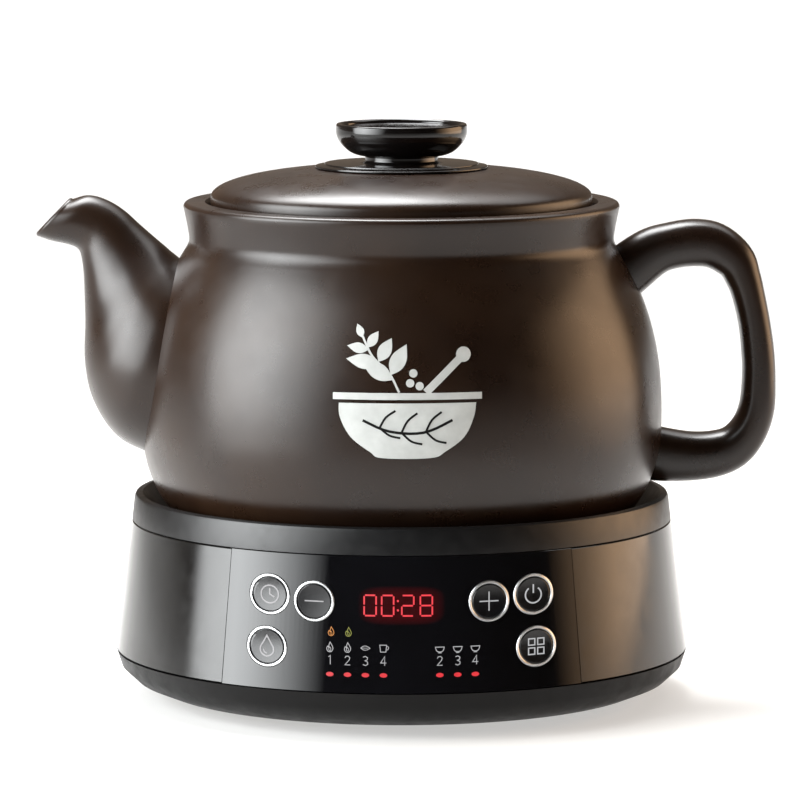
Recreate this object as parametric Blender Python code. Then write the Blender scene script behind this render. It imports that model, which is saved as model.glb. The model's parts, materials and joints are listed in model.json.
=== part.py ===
# Electric decoction pot: a stoneware kettle with a loose lid on a round electric heating base.
# Metres, +Z up. The origin is on the kettle's axis, on the table under the rubber feet.
# The spout points to -X, the handle to +X and the control panel faces -Y.

import math

import bmesh
import bpy
from mathutils import Matrix, Vector

MM = 0.001

# Clearances and cuts
FIT = 0.3 * MM
OVERRUN = 2.0 * MM
MERGE_DISTANCE = 0.001 * MM

# Facets of round pieces, by size
LARGE_ROUND = 32
MEDIUM_ROUND = 20
SMALL_ROUND = 12
TINY_ROUND = 8

# Heights of the base, from the table up
FOOT_LIFT = 3.0 * MM
CHASSIS_HEIGHT = 17.1 * MM
DRUM_HEIGHT = 56.3 * MM
RING_HEIGHT = 11.4 * MM
RING_WALL = 2.5 * MM
WELL_DEPTH = 20.9 * MM
CHASSIS_WALL = 2.5 * MM

FLOOR_Z = FOOT_LIFT
SHOULDER_Z = FLOOR_Z + CHASSIS_HEIGHT
DRUM_BOTTOM_Z = SHOULDER_Z + FIT
DRUM_TOP_Z = SHOULDER_Z + DRUM_HEIGHT
RING_BOTTOM_Z = DRUM_TOP_Z + FIT
RING_TOP_Z = DRUM_TOP_Z + RING_HEIGHT
WELL_FLOOR_Z = RING_TOP_Z - WELL_DEPTH
WELL_UNDER_Z = WELL_FLOOR_Z - RING_WALL
CHASSIS_INSIDE_Z = FLOOR_Z + CHASSIS_WALL

# Stoneware kettle. The shares give its foot and neck from its belly.
POT_BELLY_RADIUS = 111.8 * MM
POT_FOOT_SHARE = 0.71556
POT_NECK_SHARE = 0.80948
COLLAR_FLARE = 2.8 * MM
POT_BELLY_HEIGHT = 47.9 * MM
POT_SHOULDER_HEIGHT = 75.7 * MM
COLLAR_HEIGHT = 17.1 * MM
WALL = 5.5 * MM
POT_FLOOR = 6.0 * MM
NECK_BLEND = 5.0 * MM
RIM_ROUND = 2.0 * MM
RIM_WIDTH = 10.1 * MM
GALLERY_LEDGE = 7.2 * MM
GALLERY_DEPTH = 3.1 * MM
GALLERY_THICKNESS = 3.4 * MM
BOWL_POWER = 2.1
SHOULDER_POWER = 2.4
OUTSIDE_STEPS = 6
INSIDE_STEPS = 4

POT_FOOT_RADIUS = POT_BELLY_RADIUS * POT_FOOT_SHARE
POT_NECK_RADIUS = POT_BELLY_RADIUS * POT_NECK_SHARE
POT_RIM_RADIUS = POT_NECK_RADIUS + COLLAR_FLARE
GALLERY_RADIUS = POT_RIM_RADIUS - RIM_WIDTH
THROAT_RADIUS = GALLERY_RADIUS - GALLERY_LEDGE
POT_NECK_HEIGHT = POT_BELLY_HEIGHT + POT_SHOULDER_HEIGHT
POT_HEIGHT = POT_NECK_HEIGHT + COLLAR_HEIGHT

# Widths of the base, outwards and down from the well that the kettle stands in
WELL_MOUTH_INSET = 1.3 * MM
WELL_DRAFT = 10.5 * MM
WELL_CORNER = 4.0 * MM
RING_RIM = 4.3 * MM
RING_TAPER = 1.1 * MM
RING_EDGE_ROUND = 1.8 * MM
DRUM_TAPER = 6.9 * MM
DRUM_WALL = 3.6 * MM
DRUM_CHAMFER = 0.6 * MM
CHASSIS_TURN = 27.8 * MM
LIP_WALL = 2.0 * MM

WELL_MOUTH_RADIUS = POT_BELLY_RADIUS - WELL_MOUTH_INSET
WELL_BASE_RADIUS = WELL_MOUTH_RADIUS - WELL_DRAFT
RING_TOP_RADIUS = WELL_MOUTH_RADIUS + RING_RIM
DRUM_TOP_RADIUS = RING_TOP_RADIUS + RING_TAPER
SHOULDER_RADIUS = DRUM_TOP_RADIUS + DRUM_TAPER
CHASSIS_FLOOR_RADIUS = SHOULDER_RADIUS - CHASSIS_TURN

# Heating plate on its seal, over the opening in the well's floor
SEAL_THICKNESS = 1.2 * MM
SEAL_WIDTH = 4.6 * MM
PLATE_MARGIN = 4.0 * MM
PLATE_LAP = 6.0 * MM
PLATE_THICKNESS = 3.0 * MM
PLATE_GROOVE_DEPTH = 0.5 * MM
PLATE_GROOVE_WIDTH = 2.0 * MM
PLATE_GROOVE_INSETS = (52.0 * MM, 24.0 * MM)
PLATE_BOSS_RADIUS = 3.5 * MM
PLATE_BOSS_INSET = 6.0 * MM
PLATE_SCREW_ANGLES = (30, 150, 270)
PLATE_SCREW_RADIUS = 1.5 * MM
PLATE_SCREW_HEAD_RADIUS = 2.8 * MM
PLATE_SCREW_HEAD = 2.0 * MM
PLATE_BORE_DEPTH = 5.0 * MM

PLATE_BOTTOM_Z = WELL_FLOOR_Z + SEAL_THICKNESS + 2 * FIT
PLATE_TOP_Z = PLATE_BOTTOM_Z + PLATE_THICKNESS
PLATE_RADIUS = POT_FOOT_RADIUS + PLATE_MARGIN
WELL_OPENING_RADIUS = PLATE_RADIUS - PLATE_LAP
PLATE_BOSS_CIRCLE = WELL_OPENING_RADIUS - PLATE_BOSS_INSET

POT_Z = PLATE_TOP_Z + FIT
POT_RIM_Z = POT_Z + POT_HEIGHT
GALLERY_Z = POT_RIM_Z - GALLERY_DEPTH

# Heater, its shield and its safety parts under the plate
HEATER_INSET = 7.0 * MM
HEATER_TUBE_RADIUS = 3.2 * MM
HEATER_ARC = 300
HEATER_LEAD = 4.0 * MM
HEATER_STEPS = 18
SHIELD_LAP = 8.5 * MM
SHIELD_DISH_INSET = 6.0 * MM
SHIELD_TAPER = 4.0 * MM
SHIELD_HOLE_RADIUS = 15.0 * MM
SHIELD_DEPTH = 12.0 * MM
SHIELD_SHEET = 1.0 * MM
THERMOSTAT_RADIUS = 8.0 * MM
THERMOSTAT_HEIGHT = 6.0 * MM
THERMOSTAT_ANGLE = 150
THERMOSTAT_BLADE = (1.0 * MM, 4.0 * MM, 4.0 * MM)
THERMOSTAT_BLADE_SPAN = 9.0 * MM
FUSE_RADIUS = 2.4 * MM
FUSE_LENGTH = 16.0 * MM

SHIELD_TOP_Z = WELL_UNDER_Z - FIT
SHIELD_FLANGE_RADIUS = WELL_OPENING_RADIUS + SHIELD_LAP
SHIELD_DISH_RADIUS = PLATE_BOSS_CIRCLE - SHIELD_DISH_INSET
SHIELD_BASE_RADIUS = SHIELD_DISH_RADIUS - SHIELD_TAPER
HEATER_CIRCLE = SHIELD_BASE_RADIUS - HEATER_INSET

# Spring-loaded temperature probe in the middle of the plate
PROBE_RADIUS = 11.5 * MM
PROBE_SKIRT = 7.0 * MM
PROBE_WALL = 1.2 * MM
PROBE_STEM_RADIUS = 2.6 * MM
PROBE_TRAVEL = 2.0 * MM
BRACKET_WALL = 1.4 * MM
BRACKET_FLANGE_RADIUS = 19.0 * MM
BRACKET_DEPTH = 13.0 * MM
SPRING_RADIUS = 5.2 * MM
SPRING_WIRE_RADIUS = 0.45 * MM
SPRING_TURNS = 4
SPRING_POINTS_PER_TURN = 8

SAFETY_CIRCLE = (BRACKET_FLANGE_RADIUS + HEATER_CIRCLE - HEATER_TUBE_RADIUS) / 2

# Spout: how far it stands out from the belly, and the oval sections from its root to its lip
SPOUT_PROJECTION = 44.8 * MM
SPOUT_HEIGHT = 133.6 * MM
SPOUT_ROOT_HALF_LENGTH = 42.0 * MM
SPOUT_ROOT_HALF_WIDTH = 40.0 * MM
SPOUT_ROOT_INSET = 9.0 * MM
SPOUT_WALL = 4.6 * MM
SPOUT_LIP_WALL = 2.6 * MM
SPOUT_SIDES = 16
# Each row: centre from belly to lip, height, half length, tilt in degrees, half width.
SPOUT_SECTION_SHARES = (
    (-0.258, 0.549, 1.000, 81, 1.00),
    (-0.070, 0.582, 0.967, 71, 0.96),
    (0.078, 0.648, 0.860, 62, 0.84),
    (0.160, 0.722, 0.724, 56, 0.68),
    (0.215, 0.806, 0.555, 52, 0.51),
    (0.280, 0.881, 0.421, 48, 0.395),
    (0.350, 0.937, 0.340, 48.5, 0.33),
    (0.432, 0.972, 0.295, 53, 0.295),
    (0.554, 0.990, 0.290, 56, 0.28),
    (0.690, 0.998, 0.290, 53, 0.27),
    (0.825, 1.000, 0.262, 46, 0.235),
)
STRAINER_HOLE_RADIUS = 2.6 * MM
STRAINER_PITCH = 10.5 * MM
STRAINER_RING_HOLES = 6
STRAINER_HEIGHT = 66.0 * MM
STRAINER_SIDES = 6

SPOUT_REACH = POT_BELLY_RADIUS + SPOUT_PROJECTION

# Handle: a flattened bar bent into a loop
HANDLE_PROJECTION = 49.0 * MM
HANDLE_TOP = 122.8 * MM
HANDLE_BOTTOM = 30.6 * MM
HANDLE_HALF_WIDTH = 11.0 * MM
HANDLE_HALF_THICKNESS = 7.0 * MM
HANDLE_SIDES = 12
HANDLE_SECTION_POWER = 2.6
# Each row: reach from belly to the grip's middle, height from bottom to top, half thickness.
HANDLE_PATH_SHARES = (
    (-0.56, 0.80, 1.70),
    (-0.34, 0.88, 1.62),
    (-0.12, 0.953, 1.50),
    (0.07, 0.984, 1.42),
    (0.32, 1.000, 1.44),
    (0.54, 0.985, 1.40),
    (0.74, 0.920, 1.26),
    (0.85, 0.838, 1.09),
    (0.91, 0.754, 1.00),
    (0.975, 0.630, 0.95),
    (1.000, 0.504, 1.00),
    (1.000, 0.388, 1.02),
    (0.985, 0.240, 1.09),
    (0.91, 0.135, 1.15),
    (0.77, 0.054, 1.28),
    (0.58, 0.014, 1.40),
    (0.31, 0.000, 1.50),
    (-0.02, 0.010, 1.66),
    (-0.22, 0.03, 1.74),
)

HANDLE_REACH = POT_BELLY_RADIUS + HANDLE_PROJECTION

# Lid and its knob
LID_CLEARANCE = 1.5 * MM
LID_EDGE = 4.5 * MM
LID_CROWN = 13.5 * MM
LID_WALL = 4.5 * MM
LID_POWER = 2.2
LID_SKIRT_CLEARANCE = 1.5 * MM
LID_SKIRT_WALL = 3.2 * MM
LID_SKIRT_DEPTH = 7.0 * MM
VENT_RADIUS = 2.0 * MM
VENT_INSET = 17.7 * MM
VENT_ANGLE = 161
KNOB_FLANGE_RADIUS = 36.9 * MM
KNOB_FLANGE_EDGE = 1.5 * MM
KNOB_FLANGE_STEP = 0.7 * MM
KNOB_TIER_RADIUS = 33.0 * MM
KNOB_STEM_RADIUS = 15.6 * MM
KNOB_COLLAR_RADIUS = 18.0 * MM
KNOB_BOWL_RADIUS = 28.1 * MM
KNOB_LIP_RADIUS = 27.4 * MM
KNOB_HEIGHT = 18.9 * MM
KNOB_BOWL_HEIGHT = 12.6 * MM
KNOB_LIP = 1.3 * MM
KNOB_DISH = 2.4 * MM
KNOB_POCKET_RADIUS = 13.8 * MM
GASKET_THICKNESS = 2.4 * MM
KNOB_SCREW_RADIUS = 2.0 * MM
KNOB_SCREW_HEAD_RADIUS = 5.0 * MM
KNOB_SCREW_HEAD = 2.8 * MM
KNOB_SCREW_BITE = 9.0 * MM
WASHER_RADIUS = 9.0 * MM
WASHER_THICKNESS = 1.2 * MM

LID_RADIUS = GALLERY_RADIUS - LID_CLEARANCE
LID_Z = GALLERY_Z + FIT
VENT_CIRCLE = LID_RADIUS - VENT_INSET
LID_CROWN_Z = LID_Z + LID_EDGE + LID_CROWN

# Control panel, a curved window let into the front of the drum
# Widths and places across it are measured round the drum's top edge.
PANEL_HALF_WIDTH = 75.45 * MM
PANEL_THICKNESS = 2.0 * MM
PANEL_STEPS = 14
WINDOW_SILL = 5.05 * MM
WINDOW_MARGIN = 6.5 * MM
BUTTON_RING_RADIUS = 8.4 * MM
BUTTON_RING_WIDTH = 1.3 * MM
BUTTON_RING_PROUD = 0.45 * MM
BUTTON_RING_TAIL = 0.8 * MM
BUTTON_PROUD = 0.25 * MM
BUTTON_FLANGE = 1.2 * MM
BUTTON_FLANGE_LIP = 1.1 * MM
BUTTON_STEM_RADIUS = 2.2 * MM
BUTTON_STEM = 0.3 * MM
BUTTON_TRAVEL = 1.0 * MM
OUTER_BUTTON_SHARE = 0.73466
BUTTON_PITCH = 19.63 * MM
INNER_BUTTON_DROP = 19.0 * MM
UPPER_BUTTON_DROP = 17.3 * MM
LOWER_BUTTON_DROP = 38.7 * MM

OUTER_BUTTON_OFFSET = PANEL_HALF_WIDTH * OUTER_BUTTON_SHARE
INNER_BUTTON_OFFSET = OUTER_BUTTON_OFFSET - BUTTON_PITCH
BUTTONS = {
    "preset": (-OUTER_BUTTON_OFFSET, DRUM_TOP_Z - UPPER_BUTTON_DROP),
    "minus": (-INNER_BUTTON_OFFSET, DRUM_TOP_Z - INNER_BUTTON_DROP),
    "plus": (INNER_BUTTON_OFFSET, DRUM_TOP_Z - INNER_BUTTON_DROP),
    "start": (OUTER_BUTTON_OFFSET, DRUM_TOP_Z - UPPER_BUTTON_DROP),
    "water": (-OUTER_BUTTON_OFFSET, DRUM_TOP_Z - LOWER_BUTTON_DROP),
    "function": (OUTER_BUTTON_OFFSET, DRUM_TOP_Z - LOWER_BUTTON_DROP),
}

# Control board behind the panel, with its display and light guides
BOARD_THICKNESS = 1.6 * MM
BOARD_HEADROOM = 2.0 * MM
BOARD_MARGIN = 1.5 * MM
CONTROL_BOARD_HEIGHT = 38.4 * MM
SWITCH_SIZE = 6.0 * MM
SWITCH_HEIGHT = 3.5 * MM
DISPLAY_WIDTH = 30.0 * MM
DISPLAY_HEIGHT = 14.0 * MM
DISPLAY_DEPTH = 8.0 * MM
DISPLAY_DROP = 20.0 * MM
LIGHT_BOX_WALL = 1.5 * MM
GUIDE_DROP = 48.4 * MM
GUIDE_WIDTH = 3.1 * MM
GUIDE_HEIGHT = 1.8 * MM
GUIDE_BAR_DEPTH = 3.0 * MM
LIGHT_PITCH = 7.08 * MM
PROGRAM_LIGHTS = 4
PROGRAM_LIGHT_START = -28.32 * MM
VOLUME_LIGHTS = 3
VOLUME_LIGHT_START = 14.97 * MM
POST_SPACING = 84.0 * MM
POST_WIDTH = 8.0 * MM
POST_DEPTH = 6.0 * MM
POST_GRIP = 6.0 * MM

CONTROL_BOARD_FOOT_Z = WELL_UNDER_Z - BOARD_HEADROOM - CONTROL_BOARD_HEIGHT

# Feet and the screw posts, which stand clear of the heat shield
FOOT_RADIUS = 9.0 * MM
FOOT_RECESS = 1.0 * MM
FOOT_STEM_RADIUS = 2.6 * MM
FOOT_BARB_RADIUS = 3.6 * MM
FOOT_BARB = 2.4 * MM
FOOT_INSET = 17.0 * MM
FOOT_ANGLES = (45, 135, 225, 315)
POST_RADIUS = 4.6 * MM
POST_MARGIN = 5.5 * MM
POST_ANGLES = (35, 145, 215, 325)
POST_END_LIFT = 7.3 * MM
SCREW_RADIUS = 1.5 * MM
SCREW_HEAD_RADIUS = 3.4 * MM
SCREW_HEAD = 2.4 * MM
SCREW_SEAT_LIFT = 4.0 * MM
SCREW_BITE = 13.0 * MM
TOWER_WALL = 1.8 * MM

FOOT_CIRCLE = CHASSIS_FLOOR_RADIUS - FOOT_INSET
POST_CIRCLE = SHIELD_FLANGE_RADIUS + POST_MARGIN

# Vent slots in the floor, between the feet
VENT_SLOTS = 8
VENT_SLOT_WIDTH = 3.0 * MM
VENT_SLOT_LENGTH = 20.0 * MM
VENT_SLOT_INSET = 22.0 * MM

VENT_SLOT_END = FOOT_CIRCLE - VENT_SLOT_INSET

# Power board between the feet, and what is soldered on it
POWER_BOARD_MARGIN = 12.15 * MM
POWER_BOARD_DEPTH = 54.0 * MM
POWER_BOARD_SETBACK = 54.0 * MM
POWER_BOARD_LIFT = 6.2 * MM
STANDOFF_RADIUS = 3.0 * MM
STANDOFF_INSET = 5.0 * MM
TRANSFORMER_CORE = (26.0 * MM, 14.0 * MM, 22.0 * MM)
TRANSFORMER_BOBBIN = (16.0 * MM, 22.0 * MM, 17.0 * MM)
TRANSFORMER_SHARE = -0.5116
TRANSFORMER_SETBACK = 33.0 * MM
RELAY_SIZE = (19.0 * MM, 15.5 * MM, 15.0 * MM)
RELAY_GAP = 9.5 * MM
RELAY_SETBACK = 35.0 * MM
CAPACITOR_RADIUS = 6.5 * MM
CAPACITOR_HEIGHT = 20.0 * MM
CAPACITOR_SHARE = 0.6977
CAPACITOR_SETBACK = 15.0 * MM

POWER_BOARD_HALF_WIDTH = FOOT_CIRCLE * math.cos(math.radians(FOOT_ANGLES[0])) - POWER_BOARD_MARGIN
POWER_BOARD_Y = FOOT_CIRCLE - POWER_BOARD_SETBACK

# Mains inlet in the back of the drum
INLET_WIDTH = 27.0 * MM
INLET_HEIGHT = 19.5 * MM
INLET_DEPTH = 20.0 * MM
INLET_WALL = 1.6 * MM
INLET_BACK = 3.5 * MM
INLET_FLANGE = 2.5 * MM
INLET_RISE = 15.4 * MM
PIN_THICKNESS = 2.0 * MM
PIN_HEIGHT = 4.0 * MM
PIN_REACH = 10.5 * MM
PIN_TAIL = 6.0 * MM
PIN_SPACING = 14.0 * MM
PIN_DROP = 2.5 * MM
EARTH_PIN_RISE = 2.5 * MM

# Finishes: sRGB colour, roughness, metallic
FINISHES = {
    "stoneware": ("#241d18", 0.34, 0.0),
    "glazed_black": ("#0d0b0b", 0.10, 0.0),
    "gloss_black_plastic": ("#0e0e0f", 0.12, 0.0),
    "satin_grey_plastic": ("#262625", 0.38, 0.0),
    "black_plastic": ("#121111", 0.45, 0.0),
    "smoked_acrylic": ("#1b1c1e", 0.06, 0.0),
    "bright_chrome": ("#dfe1e2", 0.12, 1.0),
    "button_plastic": ("#3a3b3d", 0.30, 0.0),
    "clear_plastic": ("#d9dde0", 0.15, 0.0),
    "white_plastic": ("#d8d6cf", 0.45, 0.0),
    "aluminium": ("#b9bbbd", 0.32, 1.0),
    "steel": ("#9a9da0", 0.35, 1.0),
    "brass": ("#b8934a", 0.30, 1.0),
    "silicone": ("#5a5856", 0.60, 0.0),
    "rubber": ("#1a1a1a", 0.80, 0.0),
    "green_board": ("#1f5a36", 0.50, 0.0),
    "laminated_core": ("#4a4643", 0.50, 0.6),
    "relay_blue": ("#2a4f86", 0.40, 0.0),
    "capacitor_sleeve": ("#20242c", 0.35, 0.0),
}


def linear(channel):
    return channel / 12.92 if channel <= 0.04045 else ((channel + 0.055) / 1.055) ** 2.4


def finish(name):
    """The material of this name, made the first time it is asked for."""
    if name in bpy.data.materials:
        return bpy.data.materials[name]
    colour, roughness, metallic = FINISHES[name]
    channels = [linear(int(colour[i : i + 2], 16) / 255) for i in (1, 3, 5)]
    material = bpy.data.materials.new(name)
    material.use_nodes = True
    shader = material.node_tree.nodes["Principled BSDF"]
    shader.inputs["Base Color"].default_value = (*channels, 1.0)
    shader.inputs["Roughness"].default_value = roughness
    shader.inputs["Metallic"].default_value = metallic
    material.diffuse_color = (*channels, 1.0)
    return material


def solid(name, shape, finish_name, parent, place=(0, 0, 0), turn=0.0):
    """Turns a bmesh into the named piece, hung on its body's empty without moving it."""
    bmesh.ops.recalc_face_normals(shape, faces=shape.faces)
    mesh = bpy.data.meshes.new(name)
    shape.to_mesh(mesh)
    shape.free()
    mesh.materials.append(finish(finish_name))
    mesh.shade_smooth()
    mesh.set_sharp_from_angle(angle=math.radians(35))
    return copy_of(mesh, name, parent, place, turn)


def copy_of(mesh, name, parent, place=(0, 0, 0), turn=0.0):
    piece = bpy.data.objects.new(name, mesh)
    bpy.context.collection.objects.link(piece)
    piece.parent = parent
    piece.location = Vector(place) - (parent.location if parent else Vector())
    piece.rotation_euler = (0, 0, turn)
    return piece


def helper(name, shape):
    """A cutter or a shape to be joined to a piece: never a piece itself."""
    piece = solid(name, shape, "black_plastic", None)
    piece.hide_render = True
    piece.display_type = "WIRE"
    return piece


def combine(piece, other, operation):
    modifier = piece.modifiers.new(other.name, "BOOLEAN")
    modifier.operation = operation
    modifier.solver = "EXACT"
    modifier.object = other


def revolved(outline, segments):
    """Turns an outline of (radius, height) about Z. Ends on the axis close there, others join up."""
    shape = bmesh.new()
    points = [shape.verts.new((radius, 0, height)) for radius, height in outline]
    edges = [shape.edges.new(pair) for pair in zip(points, points[1:])]
    if max(outline[0][0], outline[-1][0]) > 0:
        edges.append(shape.edges.new((points[-1], points[0])))
    bmesh.ops.spin(
        shape,
        geom=points + edges,
        axis=(0, 0, 1),
        cent=(0, 0, 0),
        angle=math.tau,
        steps=segments,
        use_merge=True,
    )
    bmesh.ops.remove_doubles(shape, verts=shape.verts, dist=MERGE_DISTANCE)
    return shape


def wedge(outline, half_width):
    """The outline swept about Z this far to each side of the front, with flat ends."""
    rings = []
    for step in range(PANEL_STEPS + 1):
        angle = math.radians(drum_angle(half_width) * (2 * step / PANEL_STEPS - 1))
        rings.append([(r * math.sin(angle), -r * math.cos(angle), z) for r, z in outline])
    return lofted(rings)


def lofted(rings):
    """Skins rings of equally many points and closes both ends."""
    shape = bmesh.new()
    rows = [[shape.verts.new(point) for point in ring] for ring in rings]
    count = len(rows[0])
    for row, following in zip(rows, rows[1:]):
        for i in range(count):
            j = (i + 1) % count
            shape.faces.new((row[i], row[j], following[j], following[i]))
    shape.faces.new(rows[0])
    shape.faces.new(rows[-1])
    return shape


def cylinder(radius, low, high, sides, centre=(0, 0), top_radius=None):
    """An upright cylinder or cone from height low to height high."""
    shape = bmesh.new()
    bmesh.ops.create_cone(
        shape,
        cap_ends=True,
        segments=sides,
        radius1=radius,
        radius2=radius if top_radius is None else top_radius,
        depth=high - low,
        matrix=Matrix.Translation((centre[0], centre[1], (low + high) / 2)),
    )
    return shape


def box(size, centre):
    shape = bmesh.new()
    bmesh.ops.create_cube(shape, size=1, matrix=Matrix.Translation(centre) @ Matrix.Diagonal((*size, 1)))
    return shape


def joined(shapes):
    """One bmesh of several shapes that don't touch."""
    whole = bmesh.new()
    for shape in shapes:
        mesh = bpy.data.meshes.new("part")
        shape.to_mesh(mesh)
        shape.free()
        whole.from_mesh(mesh)
        bpy.data.meshes.remove(mesh)
    return whole


def turned_forward(shape, place):
    """Lays an upright shape along -Y, so that its top faces the front, with its foot at the place."""
    matrix = Matrix.Translation(place) @ Matrix.Rotation(math.radians(90), 4, "X")
    bmesh.ops.transform(shape, matrix=matrix, verts=shape.verts)
    return shape


def on_circle(radius, degrees, height=0.0):
    angle = math.radians(degrees)
    return (radius * math.cos(angle), radius * math.sin(angle), height)


def arc(centre, radius, start, end, steps):
    """Points of (radius, height) on an arc between two angles in degrees."""
    points = []
    for step in range(steps + 1):
        angle = math.radians(start + (end - start) * step / steps)
        points.append((centre[0] + radius * math.cos(angle), centre[1] + radius * math.sin(angle)))
    return points


def drum_radius(height):
    """The drum's outer radius at this height above the table."""
    share = (height - SHOULDER_Z) / DRUM_HEIGHT
    return SHOULDER_RADIUS + (DRUM_TOP_RADIUS - SHOULDER_RADIUS) * share


def drum_angle(offset):
    """The angle in degrees of this far round the drum's top edge from the front."""
    return math.degrees(offset / DRUM_TOP_RADIUS)


def body(name, place=(0, 0, 0)):
    frame = bpy.data.objects.new(name, None)
    bpy.context.collection.objects.link(frame)
    frame.location = place
    return frame


# Kettle


def bowl_outline(foot_radius, belly_radius, low, belly, steps):
    """The lower part of the kettle's side, from its foot up to the belly."""
    points = []
    for step in range(steps + 1):
        angle = math.pi / 2 * (1 - step / steps)
        spread = math.cos(angle) ** (2 / BOWL_POWER) if step else 0.0
        drop = math.sin(angle) ** (2 / BOWL_POWER) if step < steps else 0.0
        radius = foot_radius + (belly_radius - foot_radius) * spread
        points.append((radius, belly + (low - belly) * drop))
    return points


def shoulder_outline(neck_radius, belly_radius, belly, neck, end_share, steps):
    """The side above the belly, stopping at this share of the way to the neck."""
    points = []
    for step in range(1, steps + 1):
        share = end_share * step / steps
        radius = neck_radius + (belly_radius - neck_radius) * (1 - share**SHOULDER_POWER)
        points.append((radius, belly + (neck - belly) * share))
    return points


def kettle_outer_outline():
    belly_z = POT_Z + POT_BELLY_HEIGHT
    neck_z = POT_Z + POT_NECK_HEIGHT
    blend_share = 1 - NECK_BLEND / (POT_NECK_HEIGHT - POT_BELLY_HEIGHT)
    points = [(0, POT_Z)]
    points += bowl_outline(POT_FOOT_RADIUS, POT_BELLY_RADIUS, POT_Z, belly_z, OUTSIDE_STEPS)
    neck, belly = POT_NECK_RADIUS, POT_BELLY_RADIUS
    points += shoulder_outline(neck, belly, belly_z, neck_z, blend_share, OUTSIDE_STEPS)
    points.append((POT_NECK_RADIUS + NECK_BLEND / 9, neck_z))
    points.append((POT_NECK_RADIUS + NECK_BLEND / 6, neck_z + NECK_BLEND))
    points.append((POT_RIM_RADIUS - RIM_ROUND / 5, POT_RIM_Z - 2 * RIM_ROUND))
    points += arc((POT_RIM_RADIUS - RIM_ROUND, POT_RIM_Z - RIM_ROUND), RIM_ROUND, 0, 90, 3)
    return points


def kettle_solid_outline():
    """The kettle before it is hollowed: its outside, closed flat at the rim."""
    return [*kettle_outer_outline(), (0, POT_RIM_Z)]


def kettle_seat_outline():
    """The outside moved out by the fitting gap, which the roots of the spout and the handle are cut to."""
    outer = kettle_outer_outline()
    points = [(0, POT_Z - FIT)]
    for before, point, after in zip(outer, outer[1:], outer[2:]):
        along = Vector(after) - Vector(before)
        points.append(tuple(Vector(point) + Vector((along.y, -along.x)).normalized() * FIT))
    points.append((POT_RIM_RADIUS - RIM_ROUND, POT_RIM_Z + FIT))
    points.append((0, POT_RIM_Z + FIT))
    return points


def kettle_hollow_outline():
    """The space inside, from the floor out through the throat, the gallery and the mouth."""
    belly_z = POT_Z + POT_BELLY_HEIGHT
    neck_z = POT_Z + POT_NECK_HEIGHT
    floor_z = POT_Z + POT_FLOOR
    blend_share = 1 - NECK_BLEND / (POT_NECK_HEIGHT - POT_BELLY_HEIGHT)
    points = [(0, floor_z)]
    foot, inner_belly, inner_neck = POT_FOOT_RADIUS - WALL, POT_BELLY_RADIUS - WALL, POT_NECK_RADIUS - WALL
    points += bowl_outline(foot, inner_belly, floor_z, belly_z, INSIDE_STEPS)
    points += shoulder_outline(inner_neck, inner_belly, belly_z, neck_z, blend_share, INSIDE_STEPS)
    points.append((POT_NECK_RADIUS - WALL, neck_z))
    points.append((THROAT_RADIUS, GALLERY_Z - GALLERY_THICKNESS))
    points.append((THROAT_RADIUS, GALLERY_Z))
    points.append((GALLERY_RADIUS, GALLERY_Z))
    points.append((GALLERY_RADIUS, POT_RIM_Z - RIM_ROUND / 2))
    points.append((GALLERY_RADIUS + RIM_ROUND / 2, POT_RIM_Z))
    points.append((GALLERY_RADIUS + RIM_ROUND / 2, POT_RIM_Z + OVERRUN))
    points.append((0, POT_RIM_Z + OVERRUN))
    return points


def spout_rings(wall, lip_wall, extra):
    """Oval sections of the spout, drawn in by a wall that thins towards the lip."""
    rings = []
    last = len(SPOUT_SECTION_SHARES) - 1
    for index, (out, up, length, tilt, width) in enumerate(SPOUT_SECTION_SHARES):
        along = index / last
        inset = wall + (lip_wall - wall) * along
        centre_x = -(POT_BELLY_RADIUS + (SPOUT_REACH - POT_BELLY_RADIUS) * out)
        centre_z = POT_Z + SPOUT_HEIGHT * up
        half_length = SPOUT_ROOT_HALF_LENGTH * length - inset
        half_width = SPOUT_ROOT_HALF_WIDTH * width - inset
        rings.append(oval(centre_x, centre_z, half_length, half_width, tilt))
    first = [(x + SPOUT_ROOT_INSET, y, z) for x, y, z in rings[0]]
    rings.insert(0, first)
    if extra:
        tilt = math.radians(SPOUT_SECTION_SHARES[last][3])
        push = Vector((-math.sin(tilt), 0, math.cos(tilt))) * extra
        rings.append([tuple(Vector(point) + push) for point in rings[-1]])
    return rings


def oval(centre_x, centre_z, half_length, half_width, tilt):
    tilt = math.radians(tilt)
    ring = []
    for side in range(SPOUT_SIDES):
        angle = math.tau * side / SPOUT_SIDES
        reach = half_length * math.cos(angle)
        x = centre_x + reach * math.cos(tilt)
        z = centre_z + reach * math.sin(tilt)
        ring.append((x, half_width * math.sin(angle), z))
    return ring


def handle_rings():
    """Rounded-rectangle sections of the handle, each square to its path."""
    grip_reach = HANDLE_REACH - HANDLE_HALF_THICKNESS
    low = POT_Z + HANDLE_BOTTOM
    rows = []
    for out, up, thick in HANDLE_PATH_SHARES:
        x = POT_BELLY_RADIUS + (grip_reach - POT_BELLY_RADIUS) * out
        rows.append(Vector((x, low + (HANDLE_TOP - HANDLE_BOTTOM) * up, thick)))
    rings = []
    for index, row in enumerate(rows):
        before = rows[max(index - 1, 0)]
        after = rows[min(index + 1, len(rows) - 1)]
        direction = Vector((after[0] - before[0], 0, after[1] - before[1])).normalized()
        across = Vector((-direction.z, 0, direction.x))
        centre = Vector((row[0], 0, row[1]))
        half = HANDLE_HALF_THICKNESS * row[2]
        rings.append([tuple(centre + point) for point in bar_section(across, half)])
    return rings


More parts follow.
